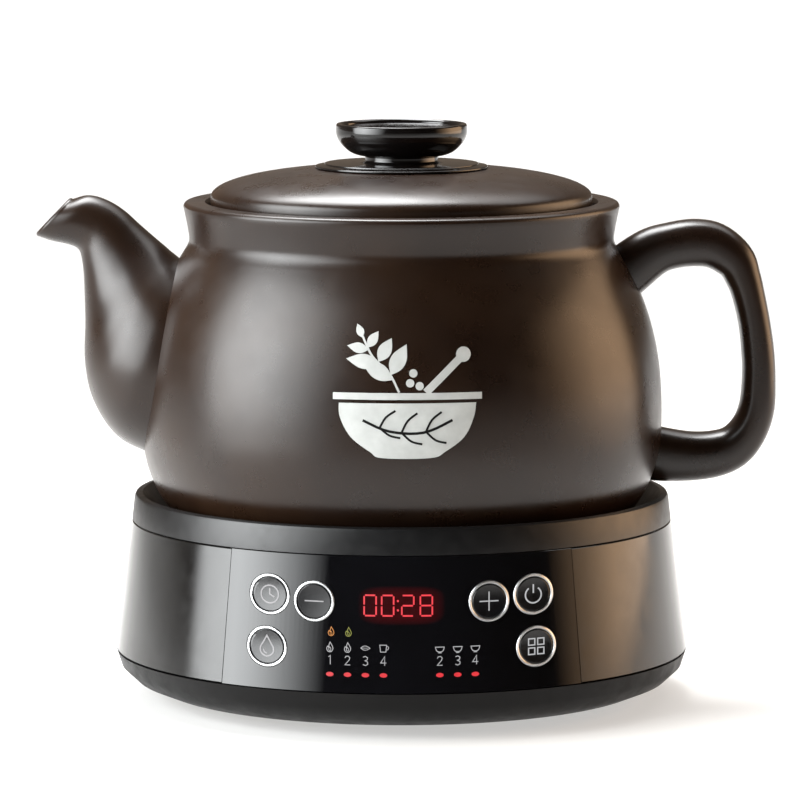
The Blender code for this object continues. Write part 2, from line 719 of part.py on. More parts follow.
def bar_section(across, half_thickness):
    points = []
    for side in range(HANDLE_SIDES):
        angle = math.tau * (side + 0.5) / HANDLE_SIDES
        u = math.copysign(abs(math.cos(angle)) ** (2 / HANDLE_SECTION_POWER), math.cos(angle))
        v = math.copysign(abs(math.sin(angle)) ** (2 / HANDLE_SECTION_POWER), math.sin(angle))
        points.append(across * (u * half_thickness) + Vector((0, v * HANDLE_HALF_WIDTH, 0)))
    return points


def strainer_holes():
    """A hole in the middle and a ring of holes round it, drilled through the wall behind the spout."""
    level = POT_Z + STRAINER_HEIGHT
    places = [(0.0, level)]
    for hole in range(STRAINER_RING_HOLES):
        angle = math.tau * hole / STRAINER_RING_HOLES
        places.append((STRAINER_PITCH * math.cos(angle), level + STRAINER_PITCH * math.sin(angle)))
    length = 3 * WALL + STRAINER_PITCH
    drills = []
    for y, z in places:
        drill = cylinder(STRAINER_HOLE_RADIUS, -length / 2, length / 2, STRAINER_SIDES)
        turn = Matrix.Rotation(math.radians(90), 4, "Y")
        matrix = Matrix.Translation((WALL - POT_BELLY_RADIUS, y, z)) @ turn
        bmesh.ops.transform(drill, matrix=matrix, verts=drill.verts)
        drills.append(drill)
    return joined(drills)


def make_kettle(parent):
    """The hollow bowl, and the spout and handle set against its wall. The bore ends at the strainer holes."""
    kettle = solid("ceramic_pot", revolved(kettle_solid_outline(), LARGE_ROUND), "stoneware", parent)
    hollow = helper("kettle_hollow", revolved(kettle_hollow_outline(), LARGE_ROUND))
    strainer = helper("strainer_drills", strainer_holes())
    combine(kettle, hollow, "DIFFERENCE")
    combine(kettle, strainer, "DIFFERENCE")
    seat = helper("kettle_seat", revolved(kettle_seat_outline(), LARGE_ROUND))
    spout = solid("pot_spout", lofted(spout_rings(0.0, 0.0, 0.0)), "stoneware", parent)
    bore = helper("spout_bore", lofted(spout_rings(SPOUT_WALL, SPOUT_LIP_WALL, OVERRUN)))
    combine(spout, seat, "DIFFERENCE")
    combine(spout, bore, "DIFFERENCE")
    handle = solid("pot_handle", lofted(handle_rings()), "stoneware", parent)
    combine(handle, seat, "DIFFERENCE")


# Lid


def dome_height(radius):
    """How far the lid's outer dome stands above its edge at this radius."""
    share = min(radius / LID_RADIUS, 1.0)
    return LID_CROWN * (1 - share**LID_POWER) ** (1 / LID_POWER)


def dome_outline(radius, edge_z, crown, inner_radius, steps):
    """A dome from near its middle out and down to its edge."""
    points = []
    for step in range(steps + 1):
        share = math.sin(math.pi / 2 * step / steps)
        r = inner_radius + (radius - inner_radius) * share
        rise = max(1 - (r / radius) ** LID_POWER, 0.0) ** (1 / LID_POWER)
        points.append((r, edge_z + crown * rise))
    return points


def make_lid(parent):
    edge_z = LID_Z + LID_EDGE
    hole = KNOB_SCREW_RADIUS + 2 * FIT
    skirt_radius = THROAT_RADIUS - LID_SKIRT_CLEARANCE
    inner_radius = skirt_radius - LID_SKIRT_WALL
    outline = dome_outline(LID_RADIUS, edge_z, LID_CROWN, hole, OUTSIDE_STEPS)
    outline.append((LID_RADIUS, LID_Z + LID_EDGE / 4))
    outline.append((LID_RADIUS - LID_EDGE / 4, LID_Z))
    outline.append((skirt_radius, LID_Z))
    outline.append((skirt_radius, LID_Z - LID_SKIRT_DEPTH))
    outline.append((inner_radius, LID_Z - LID_SKIRT_DEPTH))
    under = dome_outline(inner_radius, LID_Z, LID_CROWN + LID_EDGE - LID_WALL, hole, INSIDE_STEPS)
    outline += reversed(under)
    lid = solid("lid", revolved(outline, LARGE_ROUND), "stoneware", parent)
    place = on_circle(VENT_CIRCLE, VENT_ANGLE)
    vent = cylinder(VENT_RADIUS, LID_Z, LID_CROWN_Z + OVERRUN, TINY_ROUND, place)
    combine(lid, helper("vent_drill", vent), "DIFFERENCE")


def knob_outline():
    """The knob from the middle of its dished top, down its bowl, stem and flange, and back under."""
    edge_z = LID_Z + LID_EDGE
    rim_z = edge_z + dome_height(KNOB_FLANGE_RADIUS) + FIT
    base_z = LID_CROWN_Z + FIT
    top_z = rim_z + KNOB_HEIGHT
    bowl_z = rim_z + KNOB_BOWL_HEIGHT
    tier_z = rim_z + KNOB_FLANGE_EDGE + KNOB_FLANGE_STEP
    pocket_z = base_z + GASKET_THICKNESS + FIT
    bore_z = pocket_z + KNOB_SCREW_BITE + FIT
    bore_radius = KNOB_SCREW_RADIUS + FIT
    neck_drop = bowl_z - tier_z
    points = [(0, top_z - KNOB_DISH), (KNOB_LIP_RADIUS * 0.72, top_z - KNOB_DISH * 0.86)]
    points.append((KNOB_LIP_RADIUS - KNOB_LIP, top_z - KNOB_LIP / 2))
    points.append((KNOB_LIP_RADIUS - KNOB_LIP / 3, top_z))
    points.append((KNOB_BOWL_RADIUS, top_z - KNOB_LIP))
    points.append((KNOB_BOWL_RADIUS, bowl_z))
    points.append((KNOB_BOWL_RADIUS * 0.945, bowl_z - neck_drop * 0.33))
    points.append((KNOB_BOWL_RADIUS * 0.82, bowl_z - neck_drop * 0.54))
    points.append((KNOB_COLLAR_RADIUS, bowl_z - neck_drop * 0.68))
    points.append((KNOB_STEM_RADIUS, bowl_z - neck_drop * 0.75))
    points.append((KNOB_STEM_RADIUS, bowl_z - neck_drop * 0.87))
    points.append((KNOB_COLLAR_RADIUS, tier_z))
    points.append((KNOB_TIER_RADIUS, tier_z - KNOB_FLANGE_STEP / 3))
    points.append((KNOB_TIER_RADIUS, rim_z + KNOB_FLANGE_EDGE))
    points.append((KNOB_FLANGE_RADIUS, rim_z + KNOB_FLANGE_EDGE * 0.6))
    points.append((KNOB_FLANGE_RADIUS, rim_z))
    points.append((KNOB_POCKET_RADIUS, base_z + FIT))
    points.append((KNOB_POCKET_RADIUS, pocket_z))
    points.append((bore_radius, pocket_z))
    points.append((bore_radius, bore_z))
    points.append((0, bore_z))
    return points


def make_knob(parent):
    bore_radius = KNOB_SCREW_RADIUS + FIT
    base_z = LID_CROWN_Z + FIT
    pocket_z = base_z + GASKET_THICKNESS + FIT
    under_z = LID_CROWN_Z - LID_WALL
    gasket_radius = KNOB_POCKET_RADIUS - FIT
    solid("lid_knob", revolved(knob_outline(), MEDIUM_ROUND), "glazed_black", parent)
    gasket = [(gasket_radius, base_z + GASKET_THICKNESS), (gasket_radius, base_z)]
    gasket += [(bore_radius, base_z), (bore_radius, base_z + GASKET_THICKNESS)]
    solid("knob_gasket", revolved(gasket, SMALL_ROUND), "silicone", parent)
    washer_top = under_z - FIT
    washer_low = washer_top - WASHER_THICKNESS
    washer = [(WASHER_RADIUS, washer_top), (WASHER_RADIUS, washer_low)]
    washer += [(bore_radius, washer_low), (bore_radius, washer_top)]
    solid("knob_washer", revolved(washer, SMALL_ROUND), "steel", parent)
    head_top = washer_low - FIT
    screw = [(0, pocket_z + KNOB_SCREW_BITE), (KNOB_SCREW_RADIUS, pocket_z + KNOB_SCREW_BITE)]
    screw += [(KNOB_SCREW_RADIUS, head_top), (KNOB_SCREW_HEAD_RADIUS, head_top)]
    screw.append((KNOB_SCREW_HEAD_RADIUS * 0.8, head_top - KNOB_SCREW_HEAD))
    screw.append((0, head_top - KNOB_SCREW_HEAD))
    solid("knob_screw", revolved(screw, SMALL_ROUND), "steel", parent)


# Housing of the base


def chassis_ellipse(inset, lift, steps):
    """The bowl-shaped side of the chassis from its floor up to the shoulder."""
    points = []
    for step in range(steps + 1):
        angle = math.pi / 2 * (1 - step / steps)
        across = (SHOULDER_RADIUS - inset - CHASSIS_FLOOR_RADIUS) * math.cos(angle)
        down = (CHASSIS_HEIGHT - lift) * math.sin(angle)
        points.append((CHASSIS_FLOOR_RADIUS + across, SHOULDER_Z - down))
    return points


def make_chassis(parent):
    lip_top = SHOULDER_Z + CHASSIS_WALL
    lip_radius = drum_radius(lip_top) - DRUM_WALL - FIT
    outline = [(0, FLOOR_Z), *chassis_ellipse(0, 0, INSIDE_STEPS)]
    outline += [(lip_radius, SHOULDER_Z), (lip_radius, lip_top), (lip_radius - LIP_WALL, lip_top)]
    inner = chassis_ellipse(SHOULDER_RADIUS - lip_radius + LIP_WALL, CHASSIS_WALL, INSIDE_STEPS)
    outline += [*reversed(inner), (0, CHASSIS_INSIDE_Z)]
    chassis = solid("bottom_chassis", revolved(outline, LARGE_ROUND), "black_plastic", parent)
    root_z = FLOOR_Z + CHASSIS_WALL / 2
    risers = []
    for degrees in POST_ANGLES:
        tower = SCREW_HEAD_RADIUS + FIT + TOWER_WALL
        top = FLOOR_Z + POST_END_LIFT - FIT
        risers.append(cylinder(tower, root_z, top, TINY_ROUND, on_circle(POST_CIRCLE, degrees)))
    for place in standoff_places():
        top = CHASSIS_INSIDE_Z + POWER_BOARD_LIFT - FIT
        risers.append(cylinder(STANDOFF_RADIUS, root_z, top, TINY_ROUND, place))
    for side in (-1, 1):
        height = CONTROL_BOARD_FOOT_Z + POST_GRIP - root_z
        centre = (side * POST_SPACING / 2, -board_reach() + BOARD_THICKNESS / 2, root_z + height / 2)
        risers.append(box((POST_WIDTH, POST_DEPTH, height), centre))
    combine(chassis, helper("chassis_risers", joined(risers)), "UNION")
    cuts = []
    for degrees in POST_ANGLES:
        place = on_circle(POST_CIRCLE, degrees)
        seat = FLOOR_Z + SCREW_SEAT_LIFT
        shank = SCREW_RADIUS + FIT
        through = FLOOR_Z + POST_END_LIFT + OVERRUN
        cuts.append(bored_hole(SCREW_HEAD_RADIUS + FIT, shank, seat, through, place, TINY_ROUND))
    for degrees in FOOT_ANGLES:
        place = on_circle(FOOT_CIRCLE, degrees)
        recess = FLOOR_Z + FOOT_RECESS
        through = CHASSIS_INSIDE_Z + OVERRUN
        stem = FOOT_STEM_RADIUS + FIT
        cuts.append(bored_hole(FOOT_RADIUS + FIT, stem, recess, through, place, SMALL_ROUND))
    for slot in range(VENT_SLOTS):
        cuts.append(vent_slot(math.tau * slot / VENT_SLOTS))
    slot_height = POST_GRIP + OVERRUN
    board_y = -board_reach() + BOARD_THICKNESS / 2
    for side in (-1, 1):
        centre = (side * POST_SPACING / 2, board_y, CONTROL_BOARD_FOOT_Z - FIT + slot_height / 2)
        cuts.append(box((POST_WIDTH + OVERRUN, BOARD_THICKNESS + 2 * FIT, slot_height), centre))
    combine(chassis, helper("chassis_cuts", joined(cuts)), "DIFFERENCE")


def bored_hole(wide, narrow, step_z, top, place, sides):
    """A cutter for a wide hole from below the floor that narrows at the step and runs on up."""
    low = FLOOR_Z - OVERRUN
    outline = [(0, top), (narrow, top), (narrow, step_z), (wide, step_z), (wide, low), (0, low)]
    shape = revolved(outline, sides)
    bmesh.ops.translate(shape, vec=place, verts=shape.verts)
    return shape


def vent_slot(angle):
    middle = VENT_SLOT_END - VENT_SLOT_LENGTH / 2
    shape = box((VENT_SLOT_LENGTH, VENT_SLOT_WIDTH, 3 * CHASSIS_WALL), (middle, 0, FLOOR_Z))
    bmesh.ops.rotate(shape, cent=(0, 0, 0), matrix=Matrix.Rotation(angle, 3, "Z"), verts=shape.verts)
    return shape


def standoff_places():
    half_x = POWER_BOARD_HALF_WIDTH - STANDOFF_INSET
    half_y = POWER_BOARD_DEPTH / 2 - STANDOFF_INSET
    return [(i * half_x, POWER_BOARD_Y + j * half_y) for i in (-1, 1) for j in (-1, 1)]


def make_drum(parent):
    low, high = DRUM_BOTTOM_Z, DRUM_TOP_Z
    bottom, top = drum_radius(low), drum_radius(high)
    outline = [(bottom, low + DRUM_CHAMFER), (bottom - DRUM_CHAMFER, low), (bottom - DRUM_WALL, low)]
    outline += [(top - DRUM_WALL, high), (top - DRUM_CHAMFER, high), (top, high - DRUM_CHAMFER)]
    drum = solid("base_shell", revolved(outline, LARGE_ROUND), "gloss_black_plastic", parent)
    depth = PANEL_THICKNESS + FIT
    recess_low, recess_high = low - OVERRUN, high + OVERRUN
    low_radius, high_radius = drum_radius(recess_low), drum_radius(recess_high)
    recess = [(low_radius - depth, recess_low), (low_radius + OVERRUN, recess_low)]
    recess += [(high_radius + OVERRUN, recess_high), (high_radius - depth, recess_high)]
    recess_cut = helper("panel_recess", wedge(recess, PANEL_HALF_WIDTH + FIT))
    window_low, window_high = low + WINDOW_MARGIN, high - WINDOW_MARGIN
    deep = 2 * DRUM_WALL
    window = [(top - deep, window_low), (bottom + deep, window_low)]
    window += [(bottom + deep, window_high), (top - deep, window_high)]
    window_cut = helper("panel_window", wedge(window, PANEL_HALF_WIDTH - WINDOW_SILL))
    level = SHOULDER_Z + INLET_RISE
    size = (INLET_WIDTH + 2 * FIT, 3 * INLET_DEPTH, INLET_HEIGHT + 2 * FIT)
    inlet_cut = helper("inlet_opening", box(size, (0, bottom, level)))
    for cutter in (recess_cut, window_cut, inlet_cut):
        combine(drum, cutter, "DIFFERENCE")


def make_top_ring(parent):
    """The band above the drum, with the well that the kettle stands in and four long screw posts."""
    spigot = DRUM_TOP_RADIUS - DRUM_WALL - FIT
    shoulder = (RING_TOP_RADIUS - RING_EDGE_ROUND, RING_TOP_Z - RING_EDGE_ROUND)
    outline = arc(shoulder, RING_EDGE_ROUND, 90, 0, 2)
    outline += [(DRUM_TOP_RADIUS, RING_BOTTOM_Z), (spigot, RING_BOTTOM_Z)]
    outline.append((spigot, RING_BOTTOM_Z - RING_WALL))
    outline += [(WELL_BASE_RADIUS, WELL_UNDER_Z), (WELL_OPENING_RADIUS, WELL_UNDER_Z)]
    outline.append((WELL_OPENING_RADIUS, WELL_FLOOR_Z))
    corner = (WELL_BASE_RADIUS - WELL_CORNER, WELL_FLOOR_Z + WELL_CORNER)
    draft = math.degrees(math.atan2(WELL_DRAFT, WELL_DEPTH))
    outline += arc(corner, WELL_CORNER, -90, -draft, 2)
    edge = RING_EDGE_ROUND / 2
    outline += [(WELL_MOUTH_RADIUS, RING_TOP_Z - edge), (WELL_MOUTH_RADIUS + edge, RING_TOP_Z)]
    ring = solid("top_ring", revolved(outline, LARGE_ROUND), "satin_grey_plastic", parent)
    low = FLOOR_Z + POST_END_LIFT
    root = WELL_UNDER_Z + RING_WALL / 2
    bore_top = low + SCREW_BITE + OVERRUN
    bore_radius = SCREW_RADIUS + FIT
    posts, bores = [], []
    for degrees in POST_ANGLES:
        place = on_circle(POST_CIRCLE, degrees)
        posts.append(cylinder(POST_RADIUS, low, root, TINY_ROUND, place))
        bores.append(cylinder(bore_radius, low - OVERRUN, bore_top, TINY_ROUND, place))
    combine(ring, helper("ring_posts", joined(posts)), "UNION")
    combine(ring, helper("ring_bores", joined(bores)), "DIFFERENCE")


def make_feet_and_screws(parent):
    top = FLOOR_Z + FOOT_RECESS - FIT
    stem_top = CHASSIS_INSIDE_Z + FIT
    barb = FOOT_BARB_RADIUS
    outline = [(0, stem_top + FOOT_BARB), (FOOT_STEM_RADIUS, stem_top + FOOT_BARB), (barb, stem_top)]
    outline += [(FOOT_STEM_RADIUS, stem_top), (FOOT_STEM_RADIUS, top), (FOOT_RADIUS, top)]
    outline += [(FOOT_RADIUS, FOOT_LIFT / 3), (FOOT_RADIUS - FOOT_LIFT / 3, 0), (0, 0)]
    foot = revolved(outline, SMALL_ROUND)
    mesh = solid("rubber_foot_1", foot, "rubber", parent, on_circle(FOOT_CIRCLE, FOOT_ANGLES[0])).data
    for number, degrees in enumerate(FOOT_ANGLES[1:], 2):
        copy_of(mesh, f"rubber_foot_{number}", parent, on_circle(FOOT_CIRCLE, degrees))
    seat = FLOOR_Z + SCREW_SEAT_LIFT - FIT
    tip = FLOOR_Z + POST_END_LIFT + SCREW_BITE
    outline = [(0, tip), (SCREW_RADIUS, tip - SCREW_RADIUS), (SCREW_RADIUS, seat)]
    outline += [(SCREW_HEAD_RADIUS, seat), (SCREW_HEAD_RADIUS * 0.85, seat - SCREW_HEAD)]
    outline.append((0, seat - SCREW_HEAD))
    screw = revolved(outline, TINY_ROUND)
    mesh = solid("base_screw_1", screw, "steel", parent, on_circle(POST_CIRCLE, POST_ANGLES[0])).data
    for number, degrees in enumerate(POST_ANGLES[1:], 2):
        copy_of(mesh, f"base_screw_{number}", parent, on_circle(POST_CIRCLE, degrees))


# Heating plate and what hangs under it


def make_plate(parent):
    hole = PROBE_RADIUS + FIT
    top, low = PLATE_TOP_Z, PLATE_BOTTOM_Z
    edge = PLATE_THICKNESS / 3
    outline = [(hole, low), (hole, top)]
    for inset in PLATE_GROOVE_INSETS:
        radius = PLATE_RADIUS - inset
        half = PLATE_GROOVE_WIDTH / 2
        outline += [(radius - half, top), (radius, top - PLATE_GROOVE_DEPTH), (radius + half, top)]
    outline += [(PLATE_RADIUS - edge, top), (PLATE_RADIUS, top - edge), (PLATE_RADIUS, low)]
    plate = solid("heating_plate", revolved(outline, LARGE_ROUND), "aluminium", parent)
    boss_low = SHIELD_TOP_Z + FIT
    boss_root = low + PLATE_THICKNESS / 2
    bosses, bores = [], []
    for degrees in PLATE_SCREW_ANGLES:
        place = on_circle(PLATE_BOSS_CIRCLE, degrees)
        bosses.append(cylinder(PLATE_BOSS_RADIUS, boss_low, boss_root, TINY_ROUND, place))
        bore = PLATE_SCREW_RADIUS + FIT
        bores.append(cylinder(bore, boss_low - OVERRUN, boss_low + PLATE_BORE_DEPTH, TINY_ROUND, place))
    combine(plate, helper("plate_bosses", joined(bosses)), "UNION")
    combine(plate, helper("plate_bores", joined(bores)), "DIFFERENCE")
    seal_low = WELL_FLOOR_Z + FIT
    seal_high = seal_low + SEAL_THICKNESS
    outer = WELL_OPENING_RADIUS + FIT + SEAL_WIDTH
    inner = outer - SEAL_WIDTH
    seal = [(outer, seal_high), (outer, seal_low), (inner, seal_low), (inner, seal_high)]
    solid("plate_seal", revolved(seal, MEDIUM_ROUND), "silicone", parent)


def make_heater(parent):
    """A bent tubular element under the plate, with its cold ends turned down."""
    centre_z = PLATE_BOTTOM_Z - FIT - HEATER_TUBE_RADIUS
    corner = 2 * HEATER_TUBE_RADIUS
    ring = []
    for step in range(HEATER_STEPS + 1):
        degrees = 90 + (360 - HEATER_ARC) / 2 + HEATER_ARC * step / HEATER_STEPS
        ring.append(Vector(on_circle(HEATER_CIRCLE, degrees, centre_z)))
    start, end = lead_points(ring[0], ring[1], corner), lead_points(ring[-1], ring[-2], corner)
    route = [*start, *ring, *reversed(end)]
    curve = bpy.data.curves.new("heater_tube", "CURVE")
    curve.dimensions = "3D"
    curve.bevel_depth = HEATER_TUBE_RADIUS
    curve.bevel_resolution = 1
    curve.use_fill_caps = True
    spline = curve.splines.new("POLY")
    spline.points.add(len(route) - 1)
    for point, place in zip(spline.points, route):
        point.co = (*place, 1)
    curve.materials.append(finish("steel"))
    copy_of(curve, "heater_tube", parent)


def lead_points(end, inward, corner):
    """From the free tip of a cold end up to the bend where it joins the ring's end."""
    away = (end - inward).normalized()
    down = Vector((0, 0, -1))
    bend = end + away * corner
    points = [bend + down * (corner + HEATER_LEAD)]
    for step in (0, 1, 2):
        angle = math.radians(90 * step / 3)
        points.append(end + away * (corner * math.cos(angle)) + down * (corner * (1 - math.sin(angle))))
    return points


def make_shield(parent):
    """A pressed dish that shuts the heater in from below."""
    top = SHIELD_TOP_Z
    under = top - SHIELD_SHEET
    base = under - SHIELD_DEPTH
    outline = [(SHIELD_FLANGE_RADIUS, top), (SHIELD_FLANGE_RADIUS, under), (SHIELD_DISH_RADIUS, under)]
    outline += [(SHIELD_BASE_RADIUS, base), (SHIELD_HOLE_RADIUS, base)]
    outline.append((SHIELD_HOLE_RADIUS, base + SHIELD_SHEET))
    outline.append((SHIELD_BASE_RADIUS - SHIELD_SHEET, base + SHIELD_SHEET))
    outline.append((SHIELD_DISH_RADIUS - SHIELD_SHEET, top))
    shield = solid("heat_shield", revolved(outline, MEDIUM_ROUND), "steel", parent)
    drills = []
    for degrees in PLATE_SCREW_ANGLES:
        place = on_circle(PLATE_BOSS_CIRCLE, degrees)
        drills.append(cylinder(PLATE_SCREW_RADIUS + FIT, under - OVERRUN, top + OVERRUN, TINY_ROUND, place))
    combine(shield, helper("shield_drills", joined(drills)), "DIFFERENCE")
    head = under - FIT
    tip = SHIELD_TOP_Z + PLATE_BORE_DEPTH
    shank, wide = PLATE_SCREW_RADIUS, PLATE_SCREW_HEAD_RADIUS
    outline = [(0, tip), (shank, tip), (shank, head), (wide, head)]
    outline += [(wide, head - PLATE_SCREW_HEAD), (0, head - PLATE_SCREW_HEAD)]
    first, *others = PLATE_SCREW_ANGLES
    place = on_circle(PLATE_BOSS_CIRCLE, first)
    mesh = solid("plate_screw_1", revolved(outline, TINY_ROUND), "steel", parent, place).data
    for number, degrees in enumerate(others, 2):
        copy_of(mesh, f"plate_screw_{number}", parent, on_circle(PLATE_BOSS_CIRCLE, degrees))


def make_safety_parts(parent):
    top = PLATE_BOTTOM_Z - FIT
    low = top - THERMOSTAT_HEIGHT
    place = on_circle(SAFETY_CIRCLE, THERMOSTAT_ANGLE)
    can = cylinder(THERMOSTAT_RADIUS, low, top, SMALL_ROUND, place)
    thermostat = solid("thermostat", can, "aluminium", parent)
    blades = []
    for side in (-1, 1):
        x = place[0] + side * THERMOSTAT_BLADE_SPAN / 2
        height = THERMOSTAT_BLADE[2]
        blades.append(box(THERMOSTAT_BLADE, (x, place[1], low - height / 2 + FIT)))
    combine(thermostat, helper("thermostat_blades", joined(blades)), "UNION")
    fuse = cylinder(FUSE_RADIUS, -FUSE_LENGTH / 2, FUSE_LENGTH / 2, TINY_ROUND)
    turn = Matrix.Rotation(math.radians(90), 4, "Y")
    matrix = Matrix.Translation((0, -SAFETY_CIRCLE, top - FUSE_RADIUS)) @ turn
    bmesh.ops.transform(fuse, matrix=matrix, verts=fuse.verts)
    solid("thermal_fuse", fuse, "white_plastic", parent)


def make_probe(parent, probe_body):
    """The aluminium cap that touches the kettle, its spring and the bracket that guides them."""
    cap_top = PLATE_TOP_Z
    inside_z = cap_top - PROBE_WALL
    bracket_top = PLATE_BOTTOM_Z - FIT
    bracket_low = bracket_top - BRACKET_DEPTH
    bracket_floor = bracket_low + BRACKET_WALL
    stem_low = bracket_low - PROBE_TRAVEL
    skirt_low = cap_top - PROBE_SKIRT
    edge = PROBE_WALL / 2
    outline = [(0, cap_top), (PROBE_RADIUS - edge, cap_top), (PROBE_RADIUS, cap_top - edge)]
    outline += [(PROBE_RADIUS, skirt_low), (PROBE_RADIUS - PROBE_WALL, skirt_low)]
    outline += [(PROBE_RADIUS - PROBE_WALL, inside_z), (PROBE_STEM_RADIUS, inside_z)]
    outline += [(PROBE_STEM_RADIUS, stem_low), (0, stem_low)]
    solid("sensor_cap", revolved(outline, SMALL_ROUND), "aluminium", probe_body)
    bore = PROBE_RADIUS + 2 * FIT
    flange_low = bracket_top - BRACKET_WALL
    outline = [(BRACKET_FLANGE_RADIUS, bracket_top), (BRACKET_FLANGE_RADIUS, flange_low)]
    outline += [(bore + BRACKET_WALL, flange_low), (bore + BRACKET_WALL, bracket_low)]
    outline += [(PROBE_STEM_RADIUS + FIT, bracket_low), (PROBE_STEM_RADIUS + FIT, bracket_floor)]
    outline += [(bore, bracket_floor), (bore, bracket_top)]
    solid("sensor_bracket", revolved(outline, SMALL_ROUND), "white_plastic", parent)
    low = bracket_floor + FIT + SPRING_WIRE_RADIUS
    high = inside_z - FIT - SPRING_WIRE_RADIUS
    steps = SPRING_TURNS * SPRING_POINTS_PER_TURN
    curve = bpy.data.curves.new("sensor_spring", "CURVE")
    curve.dimensions = "3D"
    curve.bevel_depth = SPRING_WIRE_RADIUS
    curve.bevel_resolution = 0
    curve.use_fill_caps = True
    spline = curve.splines.new("POLY")
    spline.points.add(steps)
    for step, point in enumerate(spline.points):
        degrees = 360 * step / SPRING_POINTS_PER_TURN
        point.co = (*on_circle(SPRING_RADIUS, degrees, low + (high - low) * step / steps), 1)
    curve.materials.append(finish("steel"))
    copy_of(curve, "sensor_spring", probe_body)


# Controls


def front_cut(name, proud):
    """Cuts what stands further out of the panel's face than this."""
    low, high = DRUM_BOTTOM_Z, DRUM_TOP_Z
    beyond = 3 * BUTTON_RING_RADIUS
    outline = [(drum_radius(low) + proud, low), (drum_radius(low) + beyond, low)]
    outline += [(drum_radius(high) + beyond, high), (drum_radius(high) + proud, high)]
    return helper(name, wedge(outline, PANEL_HALF_WIDTH + OVERRUN))


def panel_place(offset, level, depth=0.0):
    """Where the panel's face, or a face this deep behind it, lies this far round and up."""
    angle = math.radians(drum_angle(offset))
    radius = drum_radius(level)
    return radius * math.sin(angle), -(radius - depth) * math.cos(angle)


def ring_back_y(level, x):
    """Just behind the back of the panel, at the ring's side that is furthest round."""
    inside = drum_radius(level + BUTTON_RING_RADIUS) - PANEL_THICKNESS
    far_x = abs(x) + BUTTON_RING_RADIUS
    return BUTTON_RING_TAIL - math.sqrt(inside**2 - far_x**2)


def board_reach():
    """How far before the axis the control board stands, behind the buttons that reach back most."""
    backs = []
    for offset, level in BUTTONS.values():
        x, _ = panel_place(offset, level)
        backs.append(ring_back_y(level, x))
    button_depth = FIT + BUTTON_FLANGE + BUTTON_STEM
    return -(max(backs) + button_depth + BUTTON_TRAVEL + FIT + SWITCH_HEIGHT)


def make_panel(parent):
    low, high = DRUM_BOTTOM_Z, DRUM_TOP_Z
    outline = [(drum_radius(low) - PANEL_THICKNESS, low), (drum_radius(low), low)]
    outline += [(drum_radius(high), high), (drum_radius(high) - PANEL_THICKNESS, high)]
    panel = solid("control_panel", wedge(outline, PANEL_HALF_WIDTH), "smoked_acrylic", parent)
    drills = []
    for offset, level in BUTTONS.values():
        x, _ = panel_place(offset, level)
        length = SHOULDER_RADIUS - board_reach() + OVERRUN
        drill = cylinder(BUTTON_RING_RADIUS + FIT, 0, length, SMALL_ROUND)
        drills.append(turned_forward(drill, (x, -board_reach(), level)))
    combine(panel, helper("panel_drills", joined(drills)), "DIFFERENCE")


def make_buttons(parent):
    """Each button slides straight back, along +Y, inside a bright ring set into the panel."""
    ring_trim = front_cut("ring_face", BUTTON_RING_PROUD)
    cap_trim = front_cut("button_face", BUTTON_PROUD)
    board_front = -board_reach()
    for name, (offset, level) in BUTTONS.items():
        x, face_y = panel_place(offset, level)
        back = ring_back_y(level, x)
        front = face_y - BUTTON_RING_RADIUS
        inner = BUTTON_RING_RADIUS - BUTTON_RING_WIDTH
        length = back - front
        ring = [(BUTTON_RING_RADIUS, length), (BUTTON_RING_RADIUS, 0), (inner, 0), (inner, length)]
        shape = turned_forward(revolved(ring, SMALL_ROUND), (0, back, 0))
        piece = solid(f"button_ring_{name}", shape, "bright_chrome", parent, (x, 0, level))
        combine(piece, ring_trim, "DIFFERENCE")
        cap_radius = inner - FIT
        flange_front = back + FIT
        flange_back = flange_front + BUTTON_FLANGE
        stem_end = board_front - SWITCH_HEIGHT - BUTTON_TRAVEL - FIT
        flange = inner + BUTTON_FLANGE_LIP
        cap = [(0, stem_end - front), (cap_radius, stem_end - front), (cap_radius, stem_end - flange_front)]
        cap += [(flange, stem_end - flange_front), (flange, stem_end - flange_back)]
        cap += [(BUTTON_STEM_RADIUS, stem_end - flange_back), (BUTTON_STEM_RADIUS, 0), (0, 0)]
        frame = body(f"{name}_button_body", (x, face_y, level))
        frame.parent = parent
        shape = turned_forward(revolved(cap, SMALL_ROUND), (0, stem_end - frame.location.y, 0))
        piece = solid(f"button_{name}", shape, "button_plastic", frame, frame.location)
        combine(piece, cap_trim, "DIFFERENCE")


def make_control_board(parent):
    outermost = max(panel_place(offset, level)[0] for offset, level in BUTTONS.values())
    width = 2 * outermost + SWITCH_SIZE + 2 * BOARD_MARGIN
    size = (width, BOARD_THICKNESS, CONTROL_BOARD_HEIGHT)
    centre_z = CONTROL_BOARD_FOOT_Z + CONTROL_BOARD_HEIGHT / 2
    centre = (0, -board_reach() + BOARD_THICKNESS / 2, centre_z)
    board = solid("control_board", box(size, centre), "green_board", parent)
    switches = []
    for offset, level in BUTTONS.values():
        depth = SWITCH_HEIGHT + BOARD_THICKNESS / 2
        x, _ = panel_place(offset, level)
        y = -board_reach() + BOARD_THICKNESS / 2 - depth / 2
        switches.append(box((SWITCH_SIZE, depth, SWITCH_SIZE), (x, y, level)))
    combine(board, helper("tact_switches", joined(switches)), "UNION")


